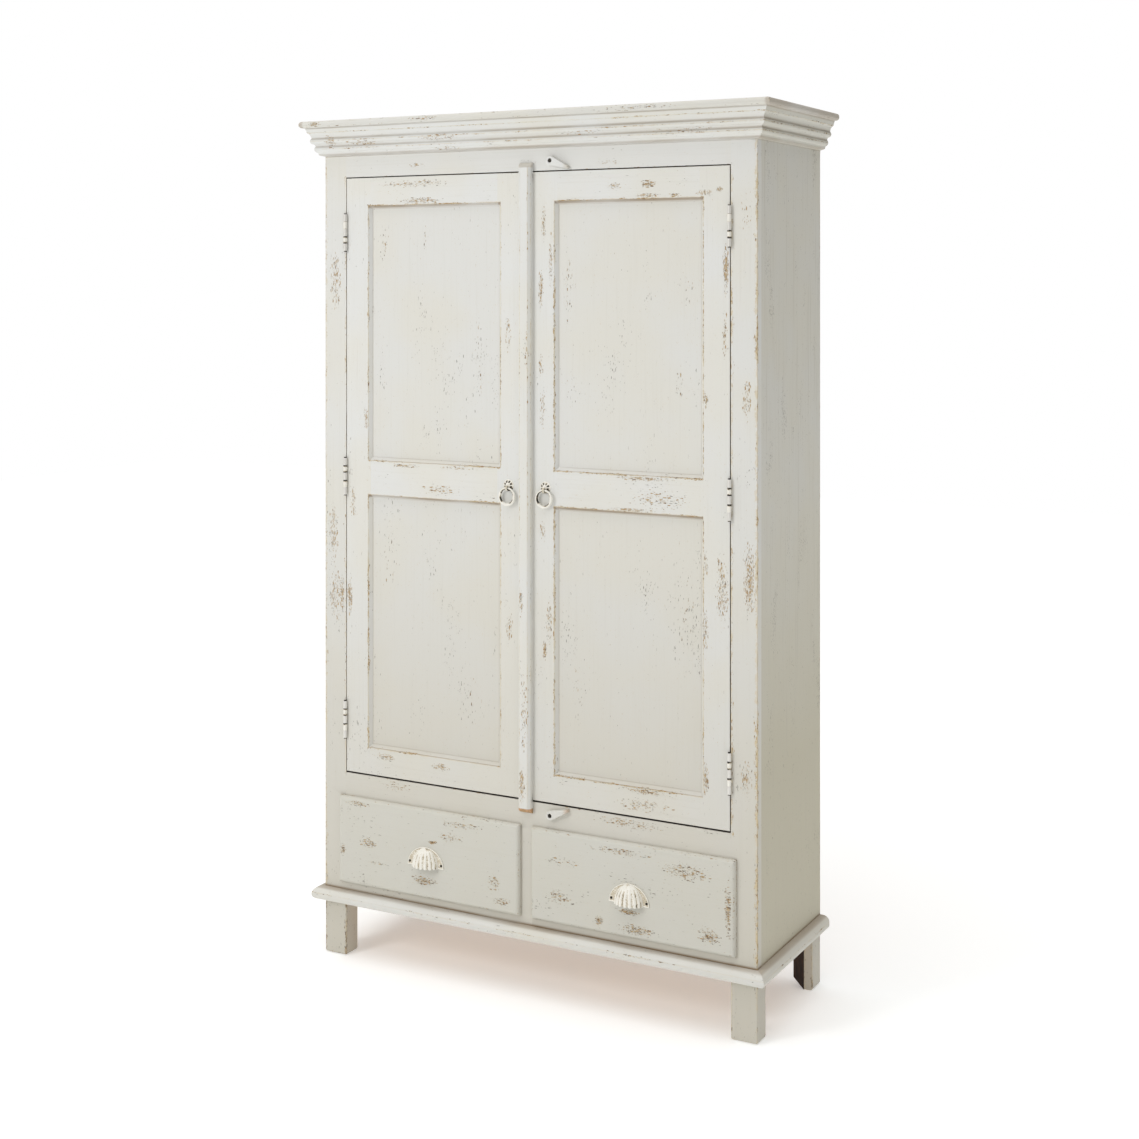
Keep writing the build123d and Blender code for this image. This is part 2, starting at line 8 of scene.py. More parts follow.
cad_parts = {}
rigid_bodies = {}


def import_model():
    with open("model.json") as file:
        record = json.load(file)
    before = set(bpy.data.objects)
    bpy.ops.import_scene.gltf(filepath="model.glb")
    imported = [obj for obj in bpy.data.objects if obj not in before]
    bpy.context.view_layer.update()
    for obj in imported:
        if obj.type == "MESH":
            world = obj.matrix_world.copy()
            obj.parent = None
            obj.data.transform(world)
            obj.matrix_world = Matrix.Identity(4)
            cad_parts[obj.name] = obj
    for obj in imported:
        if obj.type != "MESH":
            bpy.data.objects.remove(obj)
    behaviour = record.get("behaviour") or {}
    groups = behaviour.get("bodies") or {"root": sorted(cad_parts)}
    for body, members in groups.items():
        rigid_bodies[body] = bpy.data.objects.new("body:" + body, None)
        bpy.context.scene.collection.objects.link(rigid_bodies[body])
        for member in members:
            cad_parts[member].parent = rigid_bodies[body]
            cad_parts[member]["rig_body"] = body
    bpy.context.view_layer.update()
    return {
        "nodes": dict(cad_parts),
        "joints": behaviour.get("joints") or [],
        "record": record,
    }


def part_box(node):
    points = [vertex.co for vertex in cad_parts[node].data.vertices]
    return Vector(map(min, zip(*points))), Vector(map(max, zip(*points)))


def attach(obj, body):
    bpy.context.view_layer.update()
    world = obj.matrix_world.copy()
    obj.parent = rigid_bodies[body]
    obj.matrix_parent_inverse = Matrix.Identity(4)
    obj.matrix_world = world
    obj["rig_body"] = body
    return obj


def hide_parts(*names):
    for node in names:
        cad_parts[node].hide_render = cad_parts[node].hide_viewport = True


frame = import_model()
nodes = frame["nodes"]
SLOTS = {part["node"]: part["material_slot"] for part in frame["record"]["subparts"]}
JOINTS = {joint["name"]: joint for joint in frame["joints"]}
scene = bpy.context.scene

# ---- planes and levels, read from the frame -------------------------------------------------

MM = 0.001
X, Y, Z = range(3)
FAR = 9.0
SIDES = ((-1, "left"), (1, "right"))


def levels(node, axis):
    """The distinct places of a node's vertices along one axis."""
    return sorted({round(vertex.co[axis], 5) for vertex in nodes[node].data.vertices})


FACE_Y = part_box("right_frame_stile")[0].y
HALF_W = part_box("right_frame_stile")[1].x
FRAME_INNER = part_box("right_frame_stile")[0].x
DOORWAY = (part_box("frame_middle_rail")[1].z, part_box("frame_top_rail")[0].z)
DOOR_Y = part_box("right_door_rails")[0].y
DOOR_Z = tuple(corner.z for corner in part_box("right_door_hinge_stile"))
BASE_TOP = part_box("base_moulding_front")[1].z
CORNICE_LOW, CORNICE_TOP = (corner.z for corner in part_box("cornice_front"))
PANEL_LEVELS = levels("right_door_panels", Z)
PANEL_X = tuple(corner.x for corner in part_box("right_door_panels"))

# ---- wear on the front: x, z, reach across, reach up, strength --------------------------------
# About a third of the places began as points picked in the photo, which a scratch program carried
# onto the front through the fitted camera. The other places, all reaches and all strengths were
# set.

DOOR_WEAR = [
    (0.222, 1.826, 0.024, 0.010, 0.8), (0.305, 1.828, 0.026, 0.012, 1.0),
    (0.300, 1.803, 0.040, 0.007, 0.9), (0.368, 1.802, 0.020, 0.007, 0.9),
    (0.440, 1.806, 0.026, 0.009, 1.1), (0.473, 1.812, 0.012, 0.007, 1.0),
    (0.043, 1.745, 0.008, 0.045, 0.8), (0.036, 1.596, 0.008, 0.055, 1.1),
    (0.061, 1.660, 0.006, 0.080, 0.6), (0.036, 1.421, 0.008, 0.035, 0.6),
    (0.040, 1.330, 0.012, 0.060, 0.5), (0.040, 1.055, 0.010, 0.030, 0.5),
    (0.046, 0.786, 0.008, 0.026, 1.3), (0.058, 0.850, 0.010, 0.070, 0.6),
    (0.488, 1.640, 0.009, 0.075, 1.2), (0.486, 1.500, 0.008, 0.070, 0.6),
    (0.441, 1.361, 0.009, 0.020, 1.0), (0.480, 0.960, 0.020, 0.100, 0.6),
    (0.441, 1.010, 0.007, 0.040, 0.7), (0.441, 0.868, 0.008, 0.060, 0.6),
    (0.300, 0.501, 0.090, 0.008, 0.9), (0.120, 0.507, 0.060, 0.005, 0.8),
    (0.441, 0.545, 0.010, 0.045, 1.0), (0.290, 1.184, 0.100, 0.007, 0.9),
    (0.330, 1.140, 0.090, 0.030, 0.35), (0.260, 1.114, 0.080, 0.005, 0.8),
    (0.290, 0.470, 0.090, 0.018, 0.4), (-0.387, 0.490, 0.040, 0.012, 0.6),
    (-0.233, 0.486, 0.035, 0.012, 0.7), (-0.331, 1.182, 0.050, 0.006, 0.9),
    (-0.190, 1.184, 0.080, 0.005, 0.6), (-0.230, 1.130, 0.060, 0.020, 0.45),
    (-0.488, 0.864, 0.010, 0.060, 1.0), (-0.289, 1.806, 0.080, 0.010, 0.7),
    (-0.441, 1.290, 0.008, 0.040, 0.7), (-0.478, 1.090, 0.012, 0.050, 0.6),
    (-0.045, 0.830, 0.012, 0.045, 0.6), (-0.050, 1.500, 0.010, 0.060, 0.35),
    (-0.300, 1.845, 0.120, 0.012, 0.5),
]
PANEL_WEAR = [
    (0.105, 1.600, 0.020, 0.130, 0.12), (0.375, 1.400, 0.012, 0.050, 0.16),
    (0.390, 1.600, 0.030, 0.060, 0.06), (0.120, 1.380, 0.040, 0.060, 0.05),
    (0.395, 0.900, 0.030, 0.140, 0.07), (0.130, 0.700, 0.030, 0.120, 0.05),
    (-0.395, 1.700, 0.016, 0.060, 0.22), (-0.280, 1.715, 0.012, 0.040, 0.16),
    (-0.130, 1.450, 0.030, 0.160, 0.05), (-0.380, 0.950, 0.030, 0.140, 0.07),
    (-0.150, 0.650, 0.040, 0.100, 0.05),
]
FRAME_WEAR = [
    (-0.530, 1.620, 0.020, 0.100, 0.5), (-0.535, 1.020, 0.018, 0.090, 0.6),
    (-0.530, 0.860, 0.020, 0.080, 0.5), (-0.512, 0.864, 0.011, 0.060, 0.9),
    (0.536, 1.364, 0.014, 0.060, 0.5), (0.541, 0.985, 0.018, 0.100, 0.8),
    (0.535, 0.560, 0.020, 0.060, 0.4), (0.535, 1.750, 0.016, 0.100, 0.15),
    (-0.303, 1.889, 0.035, 0.006, 0.6), (0.200, 1.880, 0.060, 0.008, 0.3),
    (0.250, 0.425, 0.100, 0.014, 0.5), (-0.350, 0.425, 0.060, 0.012, 0.4),
]
DRAWER_WEAR = [
    (-0.246, 0.312, 0.015, 0.006, 1.7), (-0.427, 0.285, 0.035, 0.018, 0.6),
    (-0.400, 0.240, 0.040, 0.005, 0.6), (-0.500, 0.258, 0.012, 0.020, 0.9),
    (-0.270, 0.220, 0.050, 0.016, 0.7), (-0.200, 0.330, 0.050, 0.014, 0.5),
    (-0.079, 0.245, 0.022, 0.025, 0.6), (-0.060, 0.205, 0.030, 0.012, 0.7),
    (-0.173, 0.363, 0.070, 0.010, 0.5), (-0.460, 0.373, 0.050, 0.008, 0.8),
    (0.456, 0.216, 0.035, 0.025, 0.8), (0.085, 0.240, 0.040, 0.022, 0.5),
    (0.100, 0.320, 0.060, 0.015, 0.3), (0.190, 0.205, 0.014, 0.014, 1.1),
    (0.284, 0.200, 0.060, 0.016, 0.8), (0.262, 0.236, 0.034, 0.008, 1.2),
    (0.400, 0.345, 0.080, 0.022, 0.6), (0.498, 0.280, 0.010, 0.080, 1.0),
    (0.240, 0.365, 0.100, 0.010, 0.6),
]
STRIP_WEAR = [
    (-0.004, 0.480, 0.012, 0.050, 0.9), (-0.006, 0.894, 0.009, 0.040, 0.6),
    (0.007, 1.461, 0.008, 0.060, 0.4), (0.002, 0.640, 0.012, 0.120, 0.35),
]
TOP_WEAR = [
    (-0.560, 1.992, 0.022, 0.008, 1.1), (-0.250, 1.993, 0.060, 0.006, 0.5),
    (0.300, 1.992, 0.120, 0.006, 0.4),
]
CORNICE_WEAR = [
    (-0.440, 1.945, 0.060, 0.008, 0.5), (-0.230, 1.950, 0.080, 0.010, 0.5),
    (-0.200, 1.925, 0.060, 0.006, 0.5), (0.150, 1.945, 0.100, 0.008, 0.25),
    (0.400, 1.940, 0.120, 0.010, 0.25), (-0.530, 1.950, 0.020, 0.020, 0.6),
]

# ---- colours -------------------------------------------------------------------------------


def srgb(red, green, blue):
    """A linear colour from the usual 0 to 255 numbers."""
    def linear(value):
        share = value / 255
        return share / 12.92 if share <= 0.04045 else ((share + 0.055) / 1.055) ** 2.4
    return (linear(red), linear(green), linear(blue), 1)


PAINT_COOL = srgb(222, 222, 219)
PAINT_WARM = srgb(222, 220, 212)
PAINT_DULL = srgb(198, 193, 180)
PAINT_GREY = srgb(196, 193, 181)
PAINT_SHADED = srgb(192, 186, 165)
BRUSHED = srgb(184, 178, 162)
CREAM = srgb(205, 187, 148)
# Brown for grime and for painted shade in crevices and under overhangs.
GRIME_AND_SHADE = srgb(134, 110, 80)
SPECK = srgb(92, 80, 62)
TAN = srgb(190, 163, 118)
OCHRE = srgb(163, 126, 76)
BROWN = srgb(94, 68, 42)
RAW_PINE = srgb(196, 148, 102)
RAW_GREY = srgb(186, 174, 152)
PINE = srgb(198, 160, 112)
PINE_DARK = srgb(156, 112, 70)
WALNUT = srgb(58, 38, 27)
WALNUT_DARK = srgb(24, 14, 10)
IRON_PAINT = srgb(238, 235, 226)
IRON_OLD = srgb(186, 171, 140)
IRON_BLACK = srgb(34, 27, 20)
STEEL = srgb(70, 64, 56)
STEEL_DARK = srgb(30, 26, 22)


# ---- a small language for materials ----------------------------------------------------------


class Field:
    """A number that varies over a surface. Arithmetic on it adds nodes to its graph."""

    def __init__(self, graph, socket):
        self.graph = graph
        self.socket = socket

    def combine(self, operation, other=0.0):
        made = self.graph.node("ShaderNodeMath", {0: self, 1: other}, operation=operation)
        return Field(self.graph, made.outputs[0])

    def __add__(self, other):
        return self.combine("ADD", other)

    def __sub__(self, other):
        return self.combine("SUBTRACT", other)

    def __mul__(self, other):
        return self.combine("MULTIPLY", other)

    def __neg__(self):
        return self.combine("MULTIPLY", -1.0)

    def __abs__(self):
        return self.combine("ABSOLUTE")

    def fraction(self):
        return self.combine("FRACT")

    def lower(self, other):
        """The smaller of two fields."""
        return self.combine("MINIMUM", other)

    def upper(self, other):
        """The larger of two fields."""
        return self.combine("MAXIMUM", other)

    def step(self, low, high, start, end):
        made = self.graph.node("ShaderNodeMapRange", {0: self, 1: low, 2: high, 3: start, 4: end},
                               interpolation_type="SMOOTHSTEP")
        return Field(self.graph, made.outputs[0])

    def rise(self, low, high):
        """A smooth step: 0 up to low, 1 from high on."""
        return self.step(low, high, 0.0, 1.0)

    def fall(self, low, high):
        """A smooth step down: 1 up to low, 0 from high on."""
        return self.step(low, high, 1.0, 0.0)


class Graph:
    """One material, with its fields in the frame's metres."""

    def __init__(self, name):
        self.material = bpy.data.materials.new(name)
        self.material.use_nodes = True
        self.tree = self.material.node_tree
        self.shader = self.tree.nodes["Principled BSDF"]
        self.point = self.node("ShaderNodeTexCoord").outputs["Object"]
        parts = self.node("ShaderNodeSeparateXYZ", {0: self.point}).outputs
        self.axis = [Field(self, socket) for socket in parts]
        self.x, self.y, self.z = self.axis

    def node(self, kind, inputs=None, **settings):
        """A new node with its settings, and its inputs linked or set."""
        made = self.tree.nodes.new(kind)
        for key, value in settings.items():
            setattr(made, key, value)
        for key, value in (inputs or {}).items():
            self.feed(made.inputs[key], value)
        return made

    def feed(self, socket, value):
        if isinstance(value, Field):
            value = value.socket
        if isinstance(value, bpy.types.NodeSocket):
            self.tree.links.new(value, socket)
        else:
            socket.default_value = value

    def vector(self, operation, *inputs):
        made = self.node("ShaderNodeVectorMath", dict(enumerate(inputs)), operation=operation)
        return made.outputs[0]

    def stretched(self, scale, shift):
        return self.vector("MULTIPLY_ADD", self.point, scale, (shift, shift, shift))

    def noise(self, scale, detail=3.0, roughness=0.55, shift=0.0):
        """Soft noise about one half. The scale is in lumps per metre along x, y and z."""
        made = self.node("ShaderNodeTexNoise", {
            "Vector": self.stretched(scale, shift), "Scale": 1.0, "Detail": detail,
            "Roughness": roughness})
        return Field(self, made.outputs[0])

    def specks(self, scale, size, share, shift=0.0):
        """Small ragged specks. The share, a field, is how many of the cells have one."""
        place = self.stretched(scale, shift)
        warp = self.node("ShaderNodeTexNoise", {"Vector": place, "Scale": 2.6, "Detail": 1.0})
        ragged = self.vector("MULTIPLY_ADD", warp.outputs["Color"], (0.9, 0.9, 0.9), place)
        made = self.node("ShaderNodeTexVoronoi", {"Vector": ragged, "Scale": 1.0, "Randomness": 0.9})
        drawn = Field(self, self.node("ShaderNodeSeparateXYZ", {0: made.outputs["Color"]}).outputs[0])
        near = Field(self, made.outputs["Distance"]).fall(size * 0.7, size)
        return near * (drawn - share).fall(-0.02, 0.0)

    def spot(self, x, z, reach_x, reach_z):
        """1 at a place on the front, falling to 0 at an ellipse round it."""
        shifted = self.vector("MULTIPLY_ADD", self.point, (1 / reach_x, 0, 1 / reach_z),
                              (-x / reach_x, 0, -z / reach_z))
        length = self.node("ShaderNodeVectorMath", {0: shifted}, operation="LENGTH")
        return Field(self, length.outputs["Value"]).fall(0.1, 1.0)

    def spots(self, places):
        """All the listed wear together."""
        total = self.x * 0.0
        for x, z, reach_x, reach_z, strength in places:
            total = total.upper(self.spot(x, z, reach_x, reach_z) * strength)
        return total

    def attribute(self, name):
        """A number stored on the mesh's points: 0 where a mesh has none."""
        made = self.node("ShaderNodeAttribute", attribute_name=name)
        return Field(self, made.outputs["Fac"])

    def mix(self, factor, low, high):
        """The low colour where the factor is 0, the high one where it is 1."""
        made = self.node("ShaderNodeMix", {0: factor, 6: low, 7: high}, data_type="RGBA")
        return made.outputs[2]

    def surface(self, colour, roughness, height):
        """Sets colour and roughness, and a bump from a height in metres."""
        self.feed(self.shader.inputs["Base Color"], colour)
        self.feed(self.shader.inputs["Roughness"], roughness)
        bump = self.node("ShaderNodeBump", {"Strength": 1.0, "Distance": 1.0, "Height": height})
        self.feed(self.shader.inputs["Normal"], bump.outputs[0])
        return self.material


def along(grain, lengthwise, crosswise):
    """Noise scales for a grain that runs along one axis."""
    scale = [crosswise] * 3
    scale[grain] = lengthwise
    return tuple(scale)


# ---- where the edges, joints and gaps are -------------------------------------------------------


def box_edge(low, high):
    """How far a point is from a box's nearest arris: the middle one of its three depths."""
    def distance(g):
        a, b, c = ((g.axis[i] - low[i]).lower(-(g.axis[i] - high[i])) for i in range(3))
        return a.lower(b).upper(a.upper(b).lower(c))
    return distance


def node_edge(node, open_low=(), open_high=()):
    """The same for a node's own box. Open sides are joints, with no arris."""
    low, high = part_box(node)
    for i in open_low:
        low[i] -= FAR
    for i in open_high:
        high[i] += FAR
    return box_edge(low, high)


def outline(g, x, z):
    """Signed distance from a rectangle on the front, negative inside it."""
    across = abs(g.x - (x[0] + x[1]) / 2) - abs(x[1] - x[0]) / 2
    upward = abs(g.z - (z[0] + z[1]) / 2) - (z[1] - z[0]) / 2
    return across.upper(upward)


def panel_outline(g, sign):
    """Signed distance from the nearer of a door's two panel openings."""
    x = (sign * PANEL_X[0], sign * PANEL_X[1])
    low_panel = outline(g, x, (PANEL_LEVELS[0], PANEL_LEVELS[1]))
    return low_panel.lower(outline(g, x, (PANEL_LEVELS[2], PANEL_LEVELS[3])))


def door_rim(g, sign):
    """Distance from a door's outer rim."""
    low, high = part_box(f"{'right' if sign > 0 else 'left'}_door_meeting_stile")
    inner = low.x if sign > 0 else high.x
    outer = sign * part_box("right_door_hinge_stile")[1].x
    return abs(outline(g, (inner, outer), DOOR_Z))


def panel_edge(sign):
    """How far a point is from the arris round a door's panels."""
    return lambda g: abs(panel_outline(g, sign))


def door_gap_shade(sign):
    """Painted shade: the faces of a door's rim, which the gap keeps in shade, painted dark walnut."""
    return lambda g: door_rim(g, sign).fall(0.3 * MM, 0.6 * MM) * (g.y - DOOR_Y).rise(1.2 * MM, 2.5 * MM)


def doorway_rim(g):
    """Distance from the rim of the doorway."""
    return abs(outline(g, (-FRAME_INNER, FRAME_INNER), DOORWAY))


def frame_gap_shade(g):
    """Painted shade: the faces of the frame that look into the doorway, painted dark walnut."""
    return doorway_rim(g).fall(0.3 * MM, 0.6 * MM) * (g.y - FACE_Y).rise(1.2 * MM, 2.5 * MM)


def front_corner(g):
    """How far a point is from the front corners of the whole carcass."""
    return (-(abs(g.x) - HALF_W)).upper(g.y - FACE_Y)


def level_edge(heights):
    """How far a point is from the nearest of some heights."""
    def distance(g):
        found = abs(g.z - heights[0])
        for height in heights[1:]:
            found = found.lower(abs(g.z - height))
        return found
    return distance


def nowhere(g):
    """Far from any arris."""
    return g.x * 0.0 + FAR


# ---- materials -------------------------------------------------------------------------------

THIN_PAINT = "thin_paint"
BACK_PLANKS = 8
PLANK_JOINT = 1.2 * MM
# How the tone changes from plank to plank, and how far the grain moves across and upward, in metres.
PLANK_TONES = 0.618
PLANK_MOVES = (0.83, 3.7)
# Year rings from the lowest to the highest place of the wander noise.
RINGS = 22
STREAK_HEIGHT = 0.14 * MM
FINE_HEIGHT = 0.10 * MM
PAINT_DEPTH = 0.30 * MM

# Lumps or cells per metre, along and across the grain.
FINE = (150, 420)
STREAKS = (4, 190)
RAGGED = (55, 130)
FLECKS = (95, 330)
SMALL_FLECKS = (190, 600)
CLUSTERS = (5, 16)
PITS = (85, 380)
SMALL_PITS = (170, 680)
WOOD_GRAIN = (90, 420)
BROWNING = (120, 300)
WANDER = (1.1, 5)
WOBBLE = (2, 60)
PORES = (14, 520)

# Lumps per metre, the same in every direction.
PATCHES = (4.5, 4.5, 4.5)
BREAKS = (9, 9, 9)
SOIL = (4, 4, 4)
CAST_FINE = (420, 420, 420)
CAST_LUMPS = (140, 140, 140)


def painted(name, grain, edge, line=0.5, chips=0.3, reach=3 * MM, places=(), crevice=None, specks=0.03,
            shift=0.0, darkening=0.6, darker_colour=PAINT_DULL, dark=0.3, brushed=0.13, gap=None, raw=None):
    """Off-white paint on pine. The line is the cream undercoat along the arrises, chips the wear beside
    it, as far as the reach, and places the listed wear. The crevice is a field of grime and painted
    shade. A share sets how far the paint goes to a duller colour, more towards the bottom; where that
    colour is the shaded one, this is painted shade. Dark is how brown the bare wood is, brushed how much
    the brush marks show, gap the rim faces in a gap, which get a painted shade of dark walnut, and raw
    where there is no paint."""
    g = Graph(name)
    fine = g.noise(along(grain, *FINE), 5.0, 0.7, shift)
    patchy = g.noise(PATCHES, 2.0, 0.5, shift)
    streak = g.noise(along(grain, *STREAKS), 4.0, 0.62, shift)
    ragged = g.noise(along(grain, *RAGGED), 4.0, 0.65, shift + 7)
    broken = g.noise(BREAKS, 2.0, 0.5, shift + 3).rise(0.38, 0.62)

    torn = edge(g) + (ragged - 0.5) * (2.6 * reach)
    crowd = g.spots(places).upper(torn.fall(0.2 * reach, reach) * broken * chips)
    flecks = g.specks(along(grain, *FLECKS), 0.50, crowd * 0.75, shift + 1)
    flecks = flecks.upper(g.specks(along(grain, *SMALL_FLECKS), 0.48, crowd * 0.70, shift + 6))
    pitted = fine + crowd * 0.17
    bare = flecks.upper(pitted.rise(0.70, 0.72))

    clusters = g.noise(along(grain, *CLUSTERS), 3.0, 0.6, shift + 11).rise(0.54, 0.76)
    crowded = clusters * (specks * 3.2) + specks * 0.25 + crowd * 0.30
    pits = g.specks(along(grain, *PITS), 0.34, crowded, shift)
    pits = pits.upper(g.specks(along(grain, *SMALL_PITS), 0.36, crowded * 1.4, shift + 2))

    colour = g.mix(patchy.rise(0.35, 0.65), PAINT_COOL, PAINT_WARM)
    # Darker towards the bottom, and all over when the share passes 0.6; with the shaded colour this is
    # painted shade.
    colour = g.mix(g.z.fall(0.1, 1.35) * darkening + max(0.0, darkening - 0.6), colour, darker_colour)
    colour = g.mix(streak.rise(0.5, 0.8) * brushed, colour, BRUSHED)
    colour = g.mix(pitted.rise(0.60, 0.70) * 0.30, colour, CREAM)
    undercoat = (torn + (fine - 0.5) * (2 * reach)).fall(0.0, 0.6 * reach)
    colour = g.mix(undercoat * (broken * 0.5 + 0.5) * line, colour, CREAM)
    if crevice:
        # Grime and painted shade: the crevice field browns joints, grooves and the paint under overhangs.
        colour = g.mix(crevice(g) * (patchy.rise(0.25, 0.6) * 0.6 + 0.4), colour, GRIME_AND_SHADE)
    colour = g.mix(pits * 0.8, colour, SPECK)
    fibres = g.noise(along(grain, *WOOD_GRAIN), 3.0, 0.6, shift + 5)
    wood = g.mix(fibres.rise(0.40, 0.60), TAN, OCHRE)
    browned = g.noise(along(grain, *BROWNING), 3.0, 0.6, shift + 9) + (dark - 0.5) * 0.3
    wood = g.mix(browned.rise(0.50, 0.56), wood, BROWN)
    colour = g.mix(bare * 0.92, colour, wood)
    if raw:
        stripped = raw(g)
        bare = bare.upper(stripped)
        exposed = g.mix(g.z.rise(1.0, 1.2), g.mix(streak.rise(0.4, 0.6), RAW_PINE, OCHRE), RAW_GREY)
        colour = g.mix(stripped * 0.92, colour, exposed)
    # Painted shade: the rim faces in the gaps are painted dark walnut.
    if gap:
        colour = g.mix(gap(g) * 0.93, colour, WALNUT)

    height = streak * STREAK_HEIGHT + fine * FINE_HEIGHT - bare * PAINT_DEPTH - pits * PAINT_DEPTH
    roughness = bare * 0.25 + patchy * 0.16 + 0.46
    return g.surface(colour, roughness, height)


def pine(name, grain, shift=0.0, planks=0):
    """Unpainted pine: pale early wood, darker late wood and a few soiled patches. A node of upright
    planks, edge to edge, has other wood in each plank and dark joints between them."""
    g = Graph(name)
    tone = joint = g.x * 0.0
    if planks:
        low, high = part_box(name)
        width = (high.x - low.x) / planks
        place = (g.x - low.x) * (1 / width)
        plank = place.combine("FLOOR")
        joint = abs(place.fraction() - 0.5).rise(0.5 - 2 * PLANK_JOINT / width, 0.5 - PLANK_JOINT / width)
        tone = (plank * PLANK_TONES).fraction()
        across, upward = PLANK_MOVES
        moved = g.node("ShaderNodeCombineXYZ", {X: plank * across, Z: plank * upward}).outputs[0]
        g.point = g.vector("ADD", g.point, moved)
    wander = g.noise(along(grain, *WANDER), 3.0, 0.5, shift)
    wobble = g.noise(along(grain, *WOBBLE), 2.0, 0.5, shift)
    rings = (wander * RINGS + wobble * 0.9).fraction()
    late = rings.rise(0.35, 0.92)
    pores = g.noise(along(grain, *PORES), 3.0, 0.6, shift)
    soil = g.noise(SOIL, 3.0, 0.55, shift + 4)
    colour = g.mix(late * 0.55, PINE, PINE_DARK)
    colour = g.mix(pores.rise(0.5, 0.75) * 0.35, colour, PINE_DARK)
    colour = g.mix(tone * 0.3, colour, PINE_DARK)
    colour = g.mix((soil.rise(0.5, 0.8) * 0.35).upper(joint * 0.8), colour, BROWN)
    return g.surface(colour, pores * 0.2 + 0.6, pores * (0.15 * MM) - late * (0.05 * MM))


def shaded_dark_wood(name, grain):
    """Rough dark brown wood, painted near black: dark wood with painted shade."""
    g = Graph(name)
    fibre = g.noise(along(grain, 25, 420), 4.0, 0.65)
    stain = g.noise((22, 22, 22), 3.0, 0.6)
    colour = g.mix(fibre.rise(0.35, 0.65), WALNUT_DARK, WALNUT)
    colour = g.mix(stain.rise(0.6, 0.8) * 0.4, colour, BROWN)
    return g.surface(colour, fibre * 0.2 + 0.65, fibre * (0.4 * MM))


def iron(name, chips=None):
    """Thick off-white paint on black iron. It fails first where the mesh or the chips field says so."""
    g = Graph(name)
    fine = g.noise(CAST_FINE, 4.0, 0.6)
    lumps = g.noise(CAST_LUMPS, 3.0, 0.55)
    failing = g.attribute(THIN_PAINT)
    if chips:
        failing = failing.upper(chips(g))
    loss = fine * 0.7 + (lumps - 0.5) * 0.3 + failing * 0.42
    bare = loss.rise(0.68, 0.70)
    colour = g.mix(loss.rise(0.42, 0.60) * 0.8, IRON_PAINT, IRON_OLD)
    colour = g.mix(bare, colour, IRON_BLACK)
    height = lumps * (0.2 * MM) + fine * (0.06 * MM) - bare * (0.25 * MM)
    return g.surface(colour, bare * 0.15 + 0.42, height)


def steel(name):
    """Dull steel with brown spots."""
    g = Graph(name)
    stain = g.noise(CAST_FINE, 4.0, 0.6)
    g.shader.inputs["Metallic"].default_value = 0.7
    colour = g.mix(stain.rise(0.4, 0.62), STEEL, STEEL_DARK)
    return g.surface(colour, stain * 0.3 + 0.35, stain * (0.15 * MM))


# ---- boards with worn arrises ------------------------------------------------------------------

WELD = 0.01 * MM
SHARP = math.radians(35)
SHORTEST_ARRIS = 15 * MM
SLICE = 25 * MM
NIBBLES_PER_M = 70
PATCHES_PER_M = 7


def welded(node):
    """A copy of a CAD node's mesh, with each flat face in one piece."""
    mesh = bmesh.new()
    mesh.from_mesh(nodes[node].data)
    bmesh.ops.remove_doubles(mesh, verts=mesh.verts, dist=WELD)
    bmesh.ops.dissolve_limit(mesh, angle_limit=math.radians(1), verts=mesh.verts, edges=mesh.edges)
    return mesh


def board_boxes(node):
    """The box of each separate board of a CAD node, in the same order each time."""
    mesh = welded(node)
    waiting = set(mesh.verts)
    found = []
    while waiting:
        reached = [waiting.pop()]
        for vertex in reached:
            for edge in vertex.link_edges:
                other = edge.other_vert(vertex)
                if other in waiting:
                    waiting.remove(other)
                    reached.append(other)
        found.append([[pick(vertex.co[i] for vertex in reached) for i in range(3)]
                      for pick in (min, max)])
    mesh.free()
    return sorted(found)


def joined_boards(node):
    """The boxes of all the boards that a node's own boards may be joined to."""
    body = nodes[node]["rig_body"]
    wooden = [other for other in sorted(nodes) if nodes[other]["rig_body"] == body
              and SLOTS[other].endswith("_wood") and other != node]
    return [box for other in wooden for box in BOARDS[other]]


def covered(point, boxes):
    """Whether a point lies on or in any of the boxes."""
    slack = 2 * WELD
    return any(all(low[i] - slack < point[i] < high[i] + slack for i in range(3)) for low, high in boxes)


def new_piece(name, mesh, stands_for):
    """Makes an object of a finished bmesh, which rides where the CAD nodes do that it stands for."""
    data = bpy.data.meshes.new(name)
    mesh.to_mesh(data)
    mesh.free()
    piece = bpy.data.objects.new(name, data)
    scene.collection.objects.link(piece)
    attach(piece, nodes[stands_for]["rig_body"])
    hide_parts(stands_for)
    return piece


